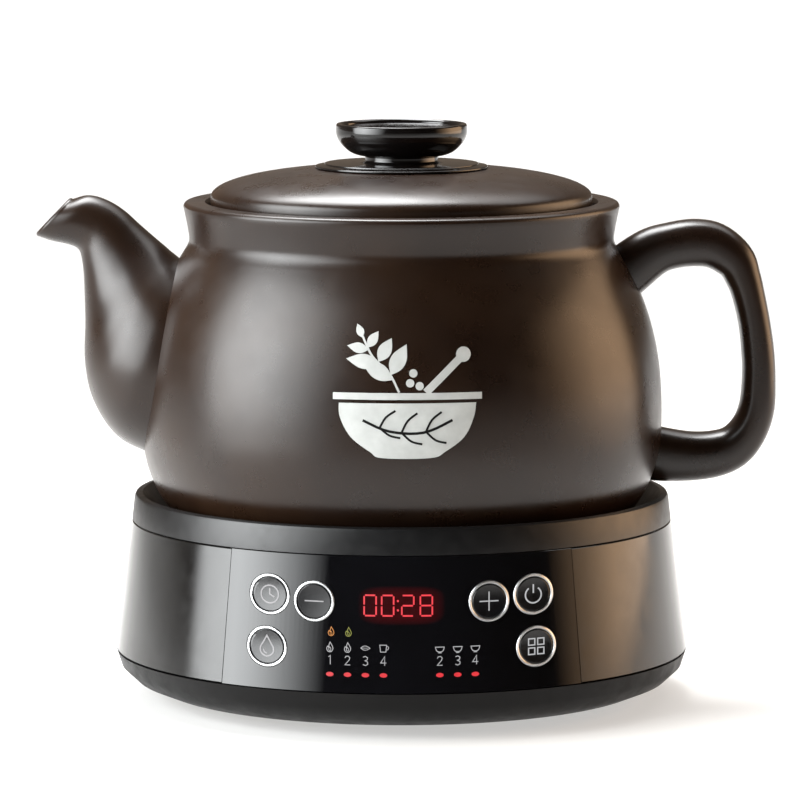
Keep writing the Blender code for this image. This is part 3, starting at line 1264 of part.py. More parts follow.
def make_display(parent):
    """The digit module in its light box, just behind the panel."""
    level = DRUM_TOP_Z - DISPLAY_DROP
    facet = math.cos(math.radians(drum_angle(PANEL_HALF_WIDTH) / PANEL_STEPS))
    frame_top = level + DISPLAY_HEIGHT / 2 + FIT + LIGHT_BOX_WALL
    back_of_panel = (drum_radius(frame_top) - PANEL_THICKNESS) * facet
    front = -math.sqrt(back_of_panel**2 - (DISPLAY_WIDTH / 2 + LIGHT_BOX_WALL + FIT) ** 2) + FIT
    centre = (0, front + DISPLAY_DEPTH / 2, level)
    module = box((DISPLAY_WIDTH, DISPLAY_DEPTH, DISPLAY_HEIGHT), centre)
    solid("led_display", module, "black_plastic", parent)
    back = -board_reach() - FIT
    pocket_back = front + DISPLAY_DEPTH + FIT
    frame_back = pocket_back + LIGHT_BOX_WALL
    wide, high = DISPLAY_WIDTH + 2 * FIT, DISPLAY_HEIGHT + 2 * FIT
    walls = 2 * LIGHT_BOX_WALL
    frame = box((wide + walls, frame_back - front, high + walls), (0, (front + frame_back) / 2, level))
    holder = solid("light_box", frame, "white_plastic", parent)
    root = pocket_back + LIGHT_BOX_WALL / 2
    neck = box((DISPLAY_WIDTH, back - root, DISPLAY_HEIGHT), (0, (root + back) / 2, level))
    pocket_size = (wide, pocket_back - front + OVERRUN, high)
    pocket = box(pocket_size, (0, (front + pocket_back - OVERRUN) / 2, level))
    bore_length = back - pocket_back + 2 * OVERRUN
    bore_size = (DISPLAY_WIDTH - walls, bore_length, DISPLAY_HEIGHT - walls)
    bore = box(bore_size, (0, (back + pocket_back) / 2, level))
    combine(holder, helper("light_box_neck", neck), "UNION")
    combine(holder, helper("display_pocket", pocket), "DIFFERENCE")
    combine(holder, helper("light_box_bore", bore), "DIFFERENCE")
    make_light_guide("program_light_guide", PROGRAM_LIGHT_START, PROGRAM_LIGHTS, parent)
    make_light_guide("volume_light_guide", VOLUME_LIGHT_START, VOLUME_LIGHTS, parent)


def make_light_guide(name, start, count, parent):
    """A clear bar on the board with one finger for each indicator, up to the back of the panel."""
    level = DRUM_TOP_Z - GUIDE_DROP
    offsets = [start + LIGHT_PITCH * light for light in range(count)]
    low_x = panel_place(offsets[0], level)[0] - GUIDE_WIDTH / 2
    high_x = panel_place(offsets[-1], level)[0] + GUIDE_WIDTH / 2
    back = -board_reach() - FIT
    bar_size = (high_x - low_x, GUIDE_BAR_DEPTH, GUIDE_HEIGHT * 2)
    bar = box(bar_size, ((low_x + high_x) / 2, back - GUIDE_BAR_DEPTH / 2, level))
    guide = solid(name, bar, "clear_plastic", parent)
    fingers = []
    for offset in offsets:
        slant = abs(math.sin(math.radians(drum_angle(offset))))
        x, front = panel_place(offset, level, PANEL_THICKNESS + 2 * FIT + GUIDE_WIDTH * slant)
        root = back - GUIDE_BAR_DEPTH / 2
        fingers.append(box((GUIDE_WIDTH, root - front, GUIDE_HEIGHT), (x, (root + front) / 2, level)))
    combine(guide, helper(name + "_fingers", joined(fingers)), "UNION")


# Electrics


def make_power_board(parent):
    low = CHASSIS_INSIDE_Z + POWER_BOARD_LIFT
    top = low + BOARD_THICKNESS
    size = (2 * POWER_BOARD_HALF_WIDTH, POWER_BOARD_DEPTH, BOARD_THICKNESS)
    solid("power_board", box(size, (0, POWER_BOARD_Y, (low + top) / 2)), "green_board", parent)
    seat = top + FIT
    front = POWER_BOARD_Y - POWER_BOARD_DEPTH / 2
    core_x, core_y = POWER_BOARD_HALF_WIDTH * TRANSFORMER_SHARE, front + TRANSFORMER_SETBACK
    core = box(TRANSFORMER_CORE, (core_x, core_y, seat + TRANSFORMER_CORE[2] / 2))
    transformer = solid("transformer", core, "laminated_core", parent)
    bobbin = box(TRANSFORMER_BOBBIN, (core_x, core_y, seat + TRANSFORMER_CORE[2] / 2))
    combine(transformer, helper("transformer_bobbin", bobbin), "UNION")
    relay_x = core_x + TRANSFORMER_CORE[0] / 2 + RELAY_GAP + RELAY_SIZE[0] / 2
    relay_place = (relay_x, front + RELAY_SETBACK, seat + RELAY_SIZE[2] / 2)
    solid("relay", box(RELAY_SIZE, relay_place), "relay_blue", parent)
    place = (POWER_BOARD_HALF_WIDTH * CAPACITOR_SHARE, front + CAPACITOR_SETBACK)
    can = cylinder(CAPACITOR_RADIUS, seat, seat + CAPACITOR_HEIGHT, SMALL_ROUND, place)
    solid("capacitor", can, "capacitor_sleeve", parent)


def make_inlet(parent):
    """A recessed appliance inlet with three blades, flanged behind the drum's wall."""
    level = SHOULDER_Z + INLET_RISE
    face = drum_radius(level + INLET_HEIGHT / 2) - FIT
    back = face - INLET_DEPTH
    shell = box((INLET_WIDTH, INLET_DEPTH, INLET_HEIGHT), (0, (face + back) / 2, level))
    inlet = solid("power_inlet", shell, "black_plastic", parent)
    drum_inside = (drum_radius(level + INLET_HEIGHT) - DRUM_WALL) * math.cos(math.pi / LARGE_ROUND)
    flange_front = math.sqrt(drum_inside**2 - (INLET_WIDTH / 2 + INLET_FLANGE) ** 2) - FIT
    flange_size = (INLET_WIDTH + 2 * INLET_FLANGE, INLET_FLANGE, INLET_HEIGHT + 2 * INLET_FLANGE)
    flange = helper("inlet_flange", box(flange_size, (0, flange_front - INLET_FLANGE / 2, level)))
    cavity_back = back + INLET_BACK
    length = face - cavity_back + OVERRUN
    cavity_size = (INLET_WIDTH - 2 * INLET_WALL, length, INLET_HEIGHT - 2 * INLET_WALL)
    cavity = helper("inlet_cavity", box(cavity_size, (0, cavity_back + length / 2, level)))
    combine(inlet, flange, "UNION")
    combine(inlet, cavity, "DIFFERENCE")
    pins = {
        "live": (-PIN_SPACING / 2, -PIN_DROP),
        "neutral": (PIN_SPACING / 2, -PIN_DROP),
        "earth": (0, EARTH_PIN_RISE),
    }
    slots = []
    tip, tail = cavity_back + PIN_REACH, back - PIN_TAIL
    for name, (x, rise) in pins.items():
        centre = (x, (tip + tail) / 2, level + rise)
        solid(f"inlet_pin_{name}", box((PIN_THICKNESS, tip - tail, PIN_HEIGHT), centre), "brass", parent)
        slot_size = (PIN_THICKNESS + 2 * FIT, tip - tail, PIN_HEIGHT + 2 * FIT)
        slots.append(box(slot_size, centre))
    combine(inlet, helper("inlet_slots", joined(slots)), "DIFFERENCE")


def main():
    for leftover in list(bpy.data.objects):
        bpy.data.objects.remove(leftover)
    base = body("base_body")
    pot = body("pot_body", (0, 0, POT_Z))
    lid = body("lid_body", (0, 0, LID_Z))
    probe = body("probe_body", (0, 0, PLATE_TOP_Z))
    make_chassis(base)
    make_drum(base)
    make_top_ring(base)
    make_feet_and_screws(base)
    make_plate(base)
    make_heater(base)
    make_shield(base)
    make_safety_parts(base)
    make_probe(base, probe)
    make_panel(base)
    make_buttons(base)
    make_control_board(base)
    make_display(base)
    make_power_board(base)
    make_inlet(base)
    make_kettle(pot)
    make_lid(lid)
    make_knob(lid)


main()
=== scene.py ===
import json
import math

import bmesh
import bpy
from mathutils import Matrix, Vector


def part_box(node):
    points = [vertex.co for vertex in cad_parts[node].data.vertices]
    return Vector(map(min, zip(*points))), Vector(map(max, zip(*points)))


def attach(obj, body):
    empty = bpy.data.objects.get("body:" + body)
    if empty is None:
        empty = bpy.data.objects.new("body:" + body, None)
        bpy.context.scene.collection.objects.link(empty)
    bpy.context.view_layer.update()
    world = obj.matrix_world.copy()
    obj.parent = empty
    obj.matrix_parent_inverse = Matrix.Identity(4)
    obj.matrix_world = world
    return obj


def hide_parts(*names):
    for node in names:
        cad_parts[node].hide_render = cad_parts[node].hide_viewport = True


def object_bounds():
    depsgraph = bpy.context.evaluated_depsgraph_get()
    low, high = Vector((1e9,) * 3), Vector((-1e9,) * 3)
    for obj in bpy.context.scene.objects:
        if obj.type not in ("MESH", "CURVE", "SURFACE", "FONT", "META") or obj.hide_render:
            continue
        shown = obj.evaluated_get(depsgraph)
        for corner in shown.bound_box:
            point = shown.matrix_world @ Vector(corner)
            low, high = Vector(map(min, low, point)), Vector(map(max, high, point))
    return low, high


mm = 0.001

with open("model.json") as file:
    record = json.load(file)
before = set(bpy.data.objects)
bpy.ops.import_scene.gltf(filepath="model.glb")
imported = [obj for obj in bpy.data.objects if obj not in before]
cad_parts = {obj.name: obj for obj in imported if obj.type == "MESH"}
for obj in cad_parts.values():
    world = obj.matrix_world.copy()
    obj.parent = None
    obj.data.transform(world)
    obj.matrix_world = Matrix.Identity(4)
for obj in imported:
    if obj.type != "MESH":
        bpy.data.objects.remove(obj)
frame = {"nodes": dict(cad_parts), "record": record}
cadLow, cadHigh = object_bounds()
nodes = frame["nodes"]
print("frame loaded")


# Colour and materials


def linear(colour):
    """A hex sRGB colour as linear RGBA."""
    channels = [int(colour[i : i + 2], 16) / 255 for i in (1, 3, 5)]
    return (*(c / 12.92 if c <= 0.04045 else ((c + 0.055) / 1.055) ** 2.4 for c in channels), 1.0)


def addNode(tree, kind, values=None, **settings):
    """A shader node with its settings, and its inputs set to values or linked to sockets."""
    made = tree.nodes.new("ShaderNode" + kind)
    for key, value in settings.items():
        setattr(made, key, value)
    for socket, value in (values or {}).items():
        if isinstance(value, bpy.types.NodeSocket):
            tree.links.new(value, made.inputs[socket])
        else:
            made.inputs[socket].default_value = value
    return made


def noise(tree, size, detail=3.0, roughness=0.55):
    """A noise whose lumps are this many metres across."""
    place = addNode(tree, "TexCoord").outputs["Object"]
    return addNode(tree, "TexNoise", {"Vector": place, "Scale": 1 / size, "Detail": detail, "Roughness": roughness})


def remap(tree, value, low, high, start=0.3, end=0.7):
    """Maps a value between start and end to the range from low to high."""
    values = {"Value": value, "From Min": start, "From Max": end, "To Min": low, "To Max": high}
    return addNode(tree, "MapRange", values).outputs["Result"]


def material(name):
    made = bpy.data.materials.new(name)
    made.use_nodes = True
    return made, made.node_tree, made.node_tree.nodes["Principled BSDF"]


def bump(tree, shader, height, depth, normal=None):
    """Presses a height from 0 to 1 this many metres deep into the shader."""
    values = {"Height": height, "Distance": depth, "Strength": 1.0}
    if normal:
        values["Normal"] = normal
    made = addNode(tree, "Bump", values)
    tree.links.new(made.outputs["Normal"], shader.inputs["Normal"])
    return made.outputs["Normal"]


def plainFinish(name, look):
    """A finish with two close colours in patches, an uneven gloss and a fine grain."""
    made, tree, shader = material(name)
    patches = noise(tree, look["patch"] * mm).outputs["Fac"]
    mix = addNode(tree, "Mix", data_type="RGBA")
    tree.links.new(remap(tree, patches, 0, 1), mix.inputs["Factor"])
    mix.inputs["A"].default_value = linear(look["colour"])
    mix.inputs["B"].default_value = linear(look["other"])
    tree.links.new(mix.outputs["Result"], shader.inputs["Base Color"])
    low, high = look["gloss"]
    wear = noise(tree, look["patch"] * mm / 3).outputs["Fac"]
    tree.links.new(remap(tree, wear, low, high), shader.inputs["Roughness"])
    shader.inputs["Metallic"].default_value = look.get("metal", 0.0)
    if "specular" in look:
        shader.inputs["Specular IOR Level"].default_value = look["specular"]
    if "coat" in look:
        shader.inputs["Coat Weight"].default_value = look["coat"]
        shader.inputs["Coat Roughness"].default_value = look.get("coatGloss", 0.05)
    grain = noise(tree, look["grain"] * mm, 2.0).outputs["Fac"]
    bump(tree, shader, grain, look["depth"] * mm)
    return made


# Each finish: two colours, size of patches and grain in mm, depth of grain in mm, range of roughness.
finishes = {
    # Glassy black glaze with hardly any orange peel, so the rim lines of the knob stay bright.
    "glazed_black": dict(colour="#0b0909", other="#100d0c", patch=9, grain=1.6, depth=0.004, gloss=(0.07, 0.14)),
    # Piano-black moulding: mirror-like with faint flow marks.
    "gloss_black_plastic": dict(colour="#0a0a0a", other="#0e0d0c", patch=30, grain=3.0, depth=0.004, gloss=(0.10, 0.17)),
    # Fine spark-eroded texture that spreads the highlight along the ring.
    "satin_grey_plastic": dict(
        colour="#0d0d0e", other="#121213", patch=18, grain=0.35, depth=0.02, gloss=(0.30, 0.38), specular=0.4
    ),
    # Dull black moulding that sinks into shadow.
    "black_plastic": dict(
        colour="#070606", other="#0b0a0a", patch=20, grain=0.5, depth=0.03, gloss=(0.40, 0.55), specular=0.2
    ),
    # Satin plated rings that stay evenly pale.
    "bright_chrome": dict(colour="#c6c8ca", other="#d2d4d5", patch=5, grain=0.4, depth=0.003, gloss=(0.34, 0.42), metal=1),
    # Slightly clouded caps, a touch softer than the window round them.
    "button_plastic": dict(colour="#0d0d0f", other="#131315", patch=6, grain=0.3, depth=0.006, gloss=(0.16, 0.24)),
    # Clear bars that stay pale and glassy.
    "clear_plastic": dict(colour="#cfd4d8", other="#e0e4e6", patch=4, grain=0.6, depth=0.004, gloss=(0.08, 0.2)),
    # Warm white moulding with a dull skin.
    "white_plastic": dict(colour="#cfccc4", other="#dcd9d2", patch=6, grain=0.3, depth=0.01, gloss=(0.4, 0.5)),
    # Cast plate, brushed soft and slightly stained by heat.
    "aluminium": dict(colour="#a9abad", other="#c0c1c2", patch=14, grain=0.4, depth=0.012, gloss=(0.26, 0.42), metal=1),
    # Dull pressed sheet and screws.
    "steel": dict(colour="#8b8e91", other="#a5a8aa", patch=5, grain=0.3, depth=0.01, gloss=(0.28, 0.42), metal=1),
    # Warm contact metal, lightly tarnished.
    "brass": dict(colour="#a98643", other="#c29d54", patch=3, grain=0.25, depth=0.006, gloss=(0.22, 0.36), metal=1),
    # Rubbery grey seal without a highlight.
    "silicone": dict(colour="#4f4d4b", other="#5c5a58", patch=4, grain=0.3, depth=0.02, gloss=(0.55, 0.7)),
    # Dry dark feet.
    "rubber": dict(colour="#121212", other="#1b1b1b", patch=4, grain=0.4, depth=0.04, gloss=(0.7, 0.85)),
    # Solder mask with a lacquer shine.
    "green_board": dict(colour="#184a2c", other="#205c38", patch=6, grain=0.5, depth=0.01, gloss=(0.3, 0.45)),
    # Stacked varnished sheets, dull and dark.
    "laminated_core": dict(colour="#3d3a37", other="#504b47", patch=2, grain=0.35, depth=0.03, gloss=(0.4, 0.6), metal=0.6),
    # Moulded relay case.
    "relay_blue": dict(colour="#25487b", other="#2d5490", patch=5, grain=0.4, depth=0.01, gloss=(0.3, 0.42)),
    # Shrunk sleeve with a low shine.
    "capacitor_sleeve": dict(colour="#1b1f27", other="#252a33", patch=5, grain=0.5, depth=0.01, gloss=(0.28, 0.4)),
}
ready = {name: plainFinish(name, look) for name, look in finishes.items()}


def stoneware():
    """Dark brown satin glaze: speckled iron spots, thicker and browner in drifts, with a soft orange peel."""
    made, tree, shader = material("stoneware")
    drift = noise(tree, 45 * mm, 2.0).outputs["Fac"]
    mix = addNode(tree, "Mix", data_type="RGBA")
    tree.links.new(remap(tree, drift, 0, 1, 0.35, 0.65), mix.inputs["Factor"])
    mix.inputs["A"].default_value = linear("#1a0f09")
    mix.inputs["B"].default_value = linear("#24170e")
    spots = noise(tree, 0.7 * mm, 1.0).outputs["Fac"]
    speckle = addNode(tree, "Mix", data_type="RGBA")
    tree.links.new(remap(tree, spots, 0, 0.55, 0.62, 0.74), speckle.inputs["Factor"])
    tree.links.new(mix.outputs["Result"], speckle.inputs["A"])
    speckle.inputs["B"].default_value = linear("#2f1f14")
    tree.links.new(speckle.outputs["Result"], shader.inputs["Base Color"])
    cloud = noise(tree, 12 * mm).outputs["Fac"]
    tree.links.new(remap(tree, cloud, 0.26, 0.32), shader.inputs["Roughness"])
    shader.inputs["Specular IOR Level"].default_value = 0.4
    peel = noise(tree, 2.6 * mm, 2.0).outputs["Fac"]
    rough = bump(tree, shader, peel, 0.009 * mm)
    grit = noise(tree, 0.5 * mm, 1.0).outputs["Fac"]
    bump(tree, shader, grit, 0.003 * mm, rough)
    return made


def smokedWindow():
    """Near-black acrylic with a mirror face, and the red bloom of the digits inside it."""
    made, tree, shader = material("smoked_acrylic")
    haze = noise(tree, 35 * mm).outputs["Fac"]
    mix = addNode(tree, "Mix", data_type="RGBA")
    tree.links.new(remap(tree, haze, 0, 1), mix.inputs["Factor"])
    mix.inputs["A"].default_value = linear("#08080a")
    mix.inputs["B"].default_value = linear("#0c0c0f")
    tree.links.new(mix.outputs["Result"], shader.inputs["Base Color"])
    tree.links.new(remap(tree, haze, 0.04, 0.07), shader.inputs["Roughness"])
    ripple = noise(tree, 16 * mm).outputs["Fac"]
    bump(tree, shader, ripple, 0.004 * mm)
    place = addNode(tree, "SeparateXYZ", {"Vector": addNode(tree, "TexCoord").outputs["Object"]})
    across = addNode(tree, "Math", {0: place.outputs["X"], 1: 17 * mm}, operation="DIVIDE")
    lift = addNode(tree, "Math", {0: place.outputs["Z"], 1: digitLevel}, operation="SUBTRACT")
    up = addNode(tree, "Math", {0: lift.outputs[0], 1: 7.6 * mm}, operation="DIVIDE")
    sums = []
    for part in (across, up):
        sums.append(addNode(tree, "Math", {0: part.outputs[0], 1: 4.0}, operation="POWER").outputs[0])
    total = addNode(tree, "Math", {0: sums[0], 1: sums[1]}, operation="ADD").outputs[0]
    glow = remap(tree, total, 1.0, 0.0, 0.15, 1.25)
    shader.inputs["Emission Color"].default_value = linear("#a01016")
    strength = addNode(tree, "Math", {0: glow, 1: 0.11}, operation="MULTIPLY").outputs[0]
    tree.links.new(strength, shader.inputs["Emission Strength"])
    return made


def glowing(name, colour, strength):
    """Characters with a slightly uneven glow: the lit digits and lamps, and white print given a painted glow."""
    made, tree, shader = material(name)
    shader.inputs["Base Color"].default_value = linear("#200506")
    shader.inputs["Emission Color"].default_value = linear(colour)
    flicker = noise(tree, 3 * mm).outputs["Fac"]
    tree.links.new(remap(tree, flicker, strength * 0.9, strength * 1.1), shader.inputs["Emission Strength"])
    return made


# Fine shapes


def newPiece(name, shape, finish, body, slot, *replaced, angle=32):
    """A finished piece from a bmesh: rides on its body and stands for the named CAD nodes."""
    bmesh.ops.recalc_face_normals(shape, faces=shape.faces)
    mesh = bpy.data.meshes.new(name)
    shape.to_mesh(mesh)
    shape.free()
    piece = bpy.data.objects.new(name, mesh)
    bpy.context.scene.collection.objects.link(piece)
    mesh.materials.append(finish)
    mesh.shade_smooth()
    mesh.set_sharp_from_angle(angle=math.radians(angle))
    if body:
        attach(piece, body)
    if replaced:
        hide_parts(*replaced)
    return piece


def revolved(outline, sides):
    """Turns (radius, height) points about Z. Ends on the axis close there, and others join up."""
    shape = bmesh.new()
    points = [shape.verts.new((radius, 0, height)) for radius, height in outline]
    edges = [shape.edges.new(pair) for pair in zip(points, points[1:])]
    if max(outline[0][0], outline[-1][0]) > 0:
        edges.append(shape.edges.new((points[-1], points[0])))
    turn = dict(axis=(0, 0, 1), cent=(0, 0, 0), angle=math.tau, steps=sides, use_merge=True)
    bmesh.ops.spin(shape, geom=points + edges, **turn)
    bmesh.ops.remove_doubles(shape, verts=shape.verts, dist=0.0001 * mm)
    return shape


def skinned(rings):
    """Skins rings of equally many points and closes both ends with a fan."""
    shape = bmesh.new()
    rows = [[shape.verts.new(point) for point in ring] for ring in rings]
    count = len(rows[0])
    for row, following in zip(rows, rows[1:]):
        for i in range(count):
            j = (i + 1) % count
            shape.faces.new((row[i], row[j], following[j], following[i]))
    for ring, row in ((rings[0], rows[0]), (rings[-1], rows[-1])):
        middle = shape.verts.new(sum((Vector(point) for point in ring), Vector()) / count)
        for i in range(count):
            shape.faces.new((row[i], row[(i + 1) % count], middle))
    return shape


def smoothRows(rows, steps):
    """The rows with more between each pair, on a curve that passes through them."""
    ends = [rows[0], *rows, rows[-1]]
    made = []
    for p, q, r, s in zip(ends, ends[1:], ends[2:], ends[3:]):
        for step in range(steps):
            t = step / steps
            row = []
            for a, b, c, d in zip(p, q, r, s):
                row.append(b + t * (c - a) / 2 + t * t * (2 * a - 5 * b + 4 * c - d) / 2 + t**3 * (3 * b - a - 3 * c + d) / 2)
            made.append(tuple(row))
    return [*made, tuple(rows[-1])]


def softened(outline, radius, steps=4):
    """Rounds the corners of an outline of (radius, height) points, as far as its sides allow."""
    made = [outline[0]]
    for before, corner, after in zip(outline, outline[1:], outline[2:]):
        a, p, b = Vector(before), Vector(corner), Vector(after)
        back = (a - p).normalized() * min(radius, (a - p).length * 0.45)
        ahead = (b - p).normalized() * min(radius, (b - p).length * 0.45)
        for step in range(steps + 1):
            t = step / steps
            made.append(tuple(p + back * (1 - t) ** 2 + ahead * t**2))
    return [*made, outline[-1]]


def arc(centre, radius, start, end, steps):
    points = []
    for step in range(steps + 1):
        angle = math.radians(start + (end - start) * step / steps)
        points.append((centre[0] + radius * math.cos(angle), centre[1] + radius * math.sin(angle)))
    return points


def cutter(name, shape):
    """A helper for a Boolean, removed once it has been used."""
    bmesh.ops.recalc_face_normals(shape, faces=shape.faces)
    mesh = bpy.data.meshes.new(name)
    shape.to_mesh(mesh)
    shape.free()
    helper = bpy.data.objects.new(name, mesh)
    bpy.context.scene.collection.objects.link(helper)
    return helper


def combined(base, *steps):
    """The bmesh of the base after these (operation, helper) steps. All of them are removed."""
    for operation, helper in steps:
        modifier = base.modifiers.new(helper.name, "BOOLEAN")
        modifier.operation = operation
        modifier.solver = "EXACT"
        modifier.object = helper
    graph = bpy.context.evaluated_depsgraph_get()
    shape = bmesh.new()
    shape.from_object(base, graph)
    for helper in (base, *(helper for _, helper in steps)):
        bpy.data.objects.remove(helper)
    return shape


def joinShapes(shapes):
    whole = bmesh.new()
    for shape in shapes:
        mesh = bpy.data.meshes.new("part")
        shape.to_mesh(mesh)
        shape.free()
        whole.from_mesh(mesh)
        bpy.data.meshes.remove(mesh)
    return whole


def trueRound(node, facets, slices, start=0.0, centre=(0.0, 0.0)):
    """The CAD node's shape with its facets about an upright axis bent onto true circles."""
    solid = nodes[node].data
    shape = bmesh.new()
    corners = [shape.verts.new(vertex.co) for vertex in solid.vertices]
    for face in solid.polygons:
        shape.faces.new([corners[index] for index in face.vertices])
    bmesh.ops.remove_doubles(shape, verts=shape.verts, dist=0.001 * mm)
    flat = [edge for edge in shape.edges if edge.is_manifold and edge.calc_face_angle(1.0) < 0.001]
    bmesh.ops.dissolve_edges(shape, edges=flat, use_verts=False)
    facet = math.tau / facets
    for cut in range(math.ceil(facets * slices / 2)):
        angle = start + facet * cut / slices
        across = (-math.sin(angle), math.cos(angle), 0)
        whole = [*shape.verts, *shape.edges, *shape.faces]
        bmesh.ops.bisect_plane(shape, geom=whole, dist=0.0005 * mm, plane_co=(*centre, 0), plane_no=across)
    for vertex in shape.verts:
        x, y = vertex.co.x - centre[0], vertex.co.y - centre[1]
        within = (math.atan2(y, x) - start) % facet - facet / 2
        grow = math.cos(within) / math.cos(facet / 2)
        vertex.co.x, vertex.co.y = centre[0] + x * grow, centre[1] + y * grow
    return shape


# Kettle, from the same driving sizes as the solid

kettle = dict(
    foot=80.0, belly=111.8, neck=90.5, rim=93.3, low=72.0, bellyLevel=119.9, neckLevel=195.6, top=212.7,
    wall=5.5, floor=6.0, gallery=83.2, galleryLevel=209.6, throat=76.0, throatDepth=3.4, rimRound=2.0,
    bowlPower=2.1, shoulderPower=2.4, blend=5.0,
)
spout = dict(reach=156.1, height=133.6, halfLength=42.0, halfWidth=40.0, wall=4.6, lipWall=2.6, inset=9.0, sides=64)
# Each row: centre from belly to lip, height, half length, tilt in degrees, half width.
spoutShares = (
    (-0.258, 0.549, 1.000, 81, 1.00),
    (-0.070, 0.582, 0.967, 71, 0.96),
    (0.078, 0.648, 0.860, 62, 0.84),
    (0.160, 0.722, 0.724, 56, 0.68),
    (0.215, 0.806, 0.555, 52, 0.51),
    (0.280, 0.881, 0.421, 48, 0.395),
    (0.350, 0.937, 0.340, 48.5, 0.33),
    (0.432, 0.972, 0.295, 53, 0.295),
    (0.554, 0.990, 0.290, 56, 0.28),
    (0.690, 0.998, 0.290, 53, 0.27),
    (0.825, 1.000, 0.262, 46, 0.235),
)
handle = dict(reach=160.5, top=122.8, bottom=30.6, halfWidth=11.0, halfThickness=7.0, power=2.6, sides=40)
# Each row: reach from belly to the grip's middle, height from bottom to top, half thickness.
handleShares = (
    (-0.56, 0.80, 1.70),
    (-0.34, 0.88, 1.62),
    (-0.12, 0.953, 1.50),
    (0.07, 0.984, 1.42),
    (0.32, 1.000, 1.44),
    (0.54, 0.985, 1.40),
    (0.74, 0.920, 1.26),
    (0.83, 0.838, 1.09),
    (0.888, 0.754, 1.00),
    (0.948, 0.630, 0.97),
    (0.985, 0.504, 1.00),
    (1.000, 0.388, 1.02),
    (0.985, 0.240, 1.09),
    (0.91, 0.135, 1.15),
    (0.77, 0.054, 1.28),
    (0.58, 0.014, 1.40),
    (0.31, 0.000, 1.50),
    (-0.02, 0.010, 1.66),
    (-0.22, 0.03, 1.74),
)
strainer = dict(radius=2.6, pitch=10.5, holes=6, level=66.0, sides=20)


def kettleSide(inset, floor, steps):
    """The side of the kettle in mm from its foot to its neck, drawn in by this much."""
    foot, belly, neck = (kettle[key] - inset for key in ("foot", "belly", "neck"))
    low, level, neckLevel = floor, kettle["bellyLevel"], kettle["neckLevel"]
    points = []
    for step in range(steps + 1):
        angle = math.pi / 2 * (1 - step / steps)
        out = abs(math.cos(angle)) ** (2 / kettle["bowlPower"])
        down = abs(math.sin(angle)) ** (2 / kettle["bowlPower"])
        points.append((foot + (belly - foot) * out, level + (low - level) * down))
    last = 1 - kettle["blend"] / (neckLevel - level)
    for step in range(1, steps + 1):
        share = last * step / steps
        points.append((neck + (belly - neck) * (1 - share ** kettle["shoulderPower"]), level + (neckLevel - level) * share))
    return points


def kettleOutside():
    rim, top, bend = kettle["rim"], kettle["top"], kettle["rimRound"]
    points = [(0, kettle["low"]), *kettleSide(0, kettle["low"], 40)]
    start = points.pop()
    neck, level, blend = kettle["neck"], kettle["neckLevel"], kettle["blend"]
    collar = [start, (neck + blend / 9, level), (neck + blend / 6, level + blend), (rim - bend / 5, top - 2 * bend)]
    points += smoothRows(collar, 6)
    points += arc((rim - bend, top - bend), bend, 0, 90, 8)
    return points


def kettleInside():
    top, gallery, level = kettle["top"], kettle["gallery"], kettle["galleryLevel"]
    floor = kettle["low"] + kettle["floor"]
    points = [(0, floor), *kettleSide(kettle["wall"], floor, 30)]
    points.append((kettle["neck"] - kettle["wall"], kettle["neckLevel"]))
    throat = kettle["throat"]
    ledge = [(throat, level - kettle["throatDepth"]), (throat, level), (gallery, level)]
    lip = [(gallery, top - kettle["rimRound"]), (gallery + kettle["rimRound"] / 2, top), (gallery + 2, top + 4)]
    points += softened([points[-1], *ledge, *lip, (0, top + 4)], 0.8)[1:]
    return points


def scaled(points):
    return [tuple(value * mm for value in point) for point in points]


def spoutRings(wall, lipWall, extra):
    """Oval sections in mm, drawn in by a wall that thins towards the lip, which is rounded over."""
    rows = smoothRows(spoutShares, 6)
    last = len(rows) - 1
    rings = []
    turned = [(0.0, 0.0)]
    if not extra:
        turned = [(math.radians(angle), 1.2) for angle in (0, 25, 50, 75)]
    for index, (out, up, length, tilt, width) in enumerate(rows):
        inset = wall + (lipWall - wall) * index / last
        centre = Vector((-(kettle["belly"] + (spout["reach"] - kettle["belly"]) * out), 0, kettle["low"] + spout["height"] * up))
        along = Vector((math.cos(math.radians(tilt)), 0, math.sin(math.radians(tilt))))
        outward = Vector((-along.z, 0, along.x))
        for angle, radius in turned if index == last else turned[:1]:
            shrink = inset + radius * (1 - math.cos(angle))
            push = outward * (radius * math.sin(angle))
            ring = []
            for side in range(spout["sides"]):
                turn = math.tau * side / spout["sides"]
                reach = (spout["halfLength"] * length - shrink) * math.cos(turn)
                across = (spout["halfWidth"] * width - shrink) * math.sin(turn)
                ring.append(centre + push + along * reach + Vector((0, across, 0)))
            rings.append(ring)
    rings.insert(0, [point + Vector((spout["inset"], 0, 0)) for point in rings[0]])
    if extra:
        rings.append([point + outward * extra for point in rings[-1]])
    return [scaled(ring) for ring in rings]


def handleRings():
    rows = []
    for out, up, thick in smoothRows(handleShares, 5):
        x = kettle["belly"] + (handle["reach"] - handle["halfThickness"] - kettle["belly"]) * out
        z = kettle["low"] + handle["bottom"] + (handle["top"] - handle["bottom"]) * up
        rows.append((x, z, thick))
    rings = []
    for index, (x, z, thick) in enumerate(rows):
        before, after = rows[max(index - 1, 0)], rows[min(index + 1, len(rows) - 1)]
        direction = Vector((after[0] - before[0], 0, after[1] - before[1])).normalized()
        across = Vector((-direction.z, 0, direction.x))
        ring = []
        for side in range(handle["sides"]):
            angle = math.tau * (side + 0.5) / handle["sides"]
            u = math.copysign(abs(math.cos(angle)) ** (2 / handle["power"]), math.cos(angle))
            v = math.copysign(abs(math.sin(angle)) ** (2 / handle["power"]), math.sin(angle))
            offset = across * (u * handle["halfThickness"] * thick) + Vector((0, v * handle["halfWidth"], 0))
            ring.append(Vector((x, 0, z)) + offset)
        rings.append(scaled(ring))
    return rings


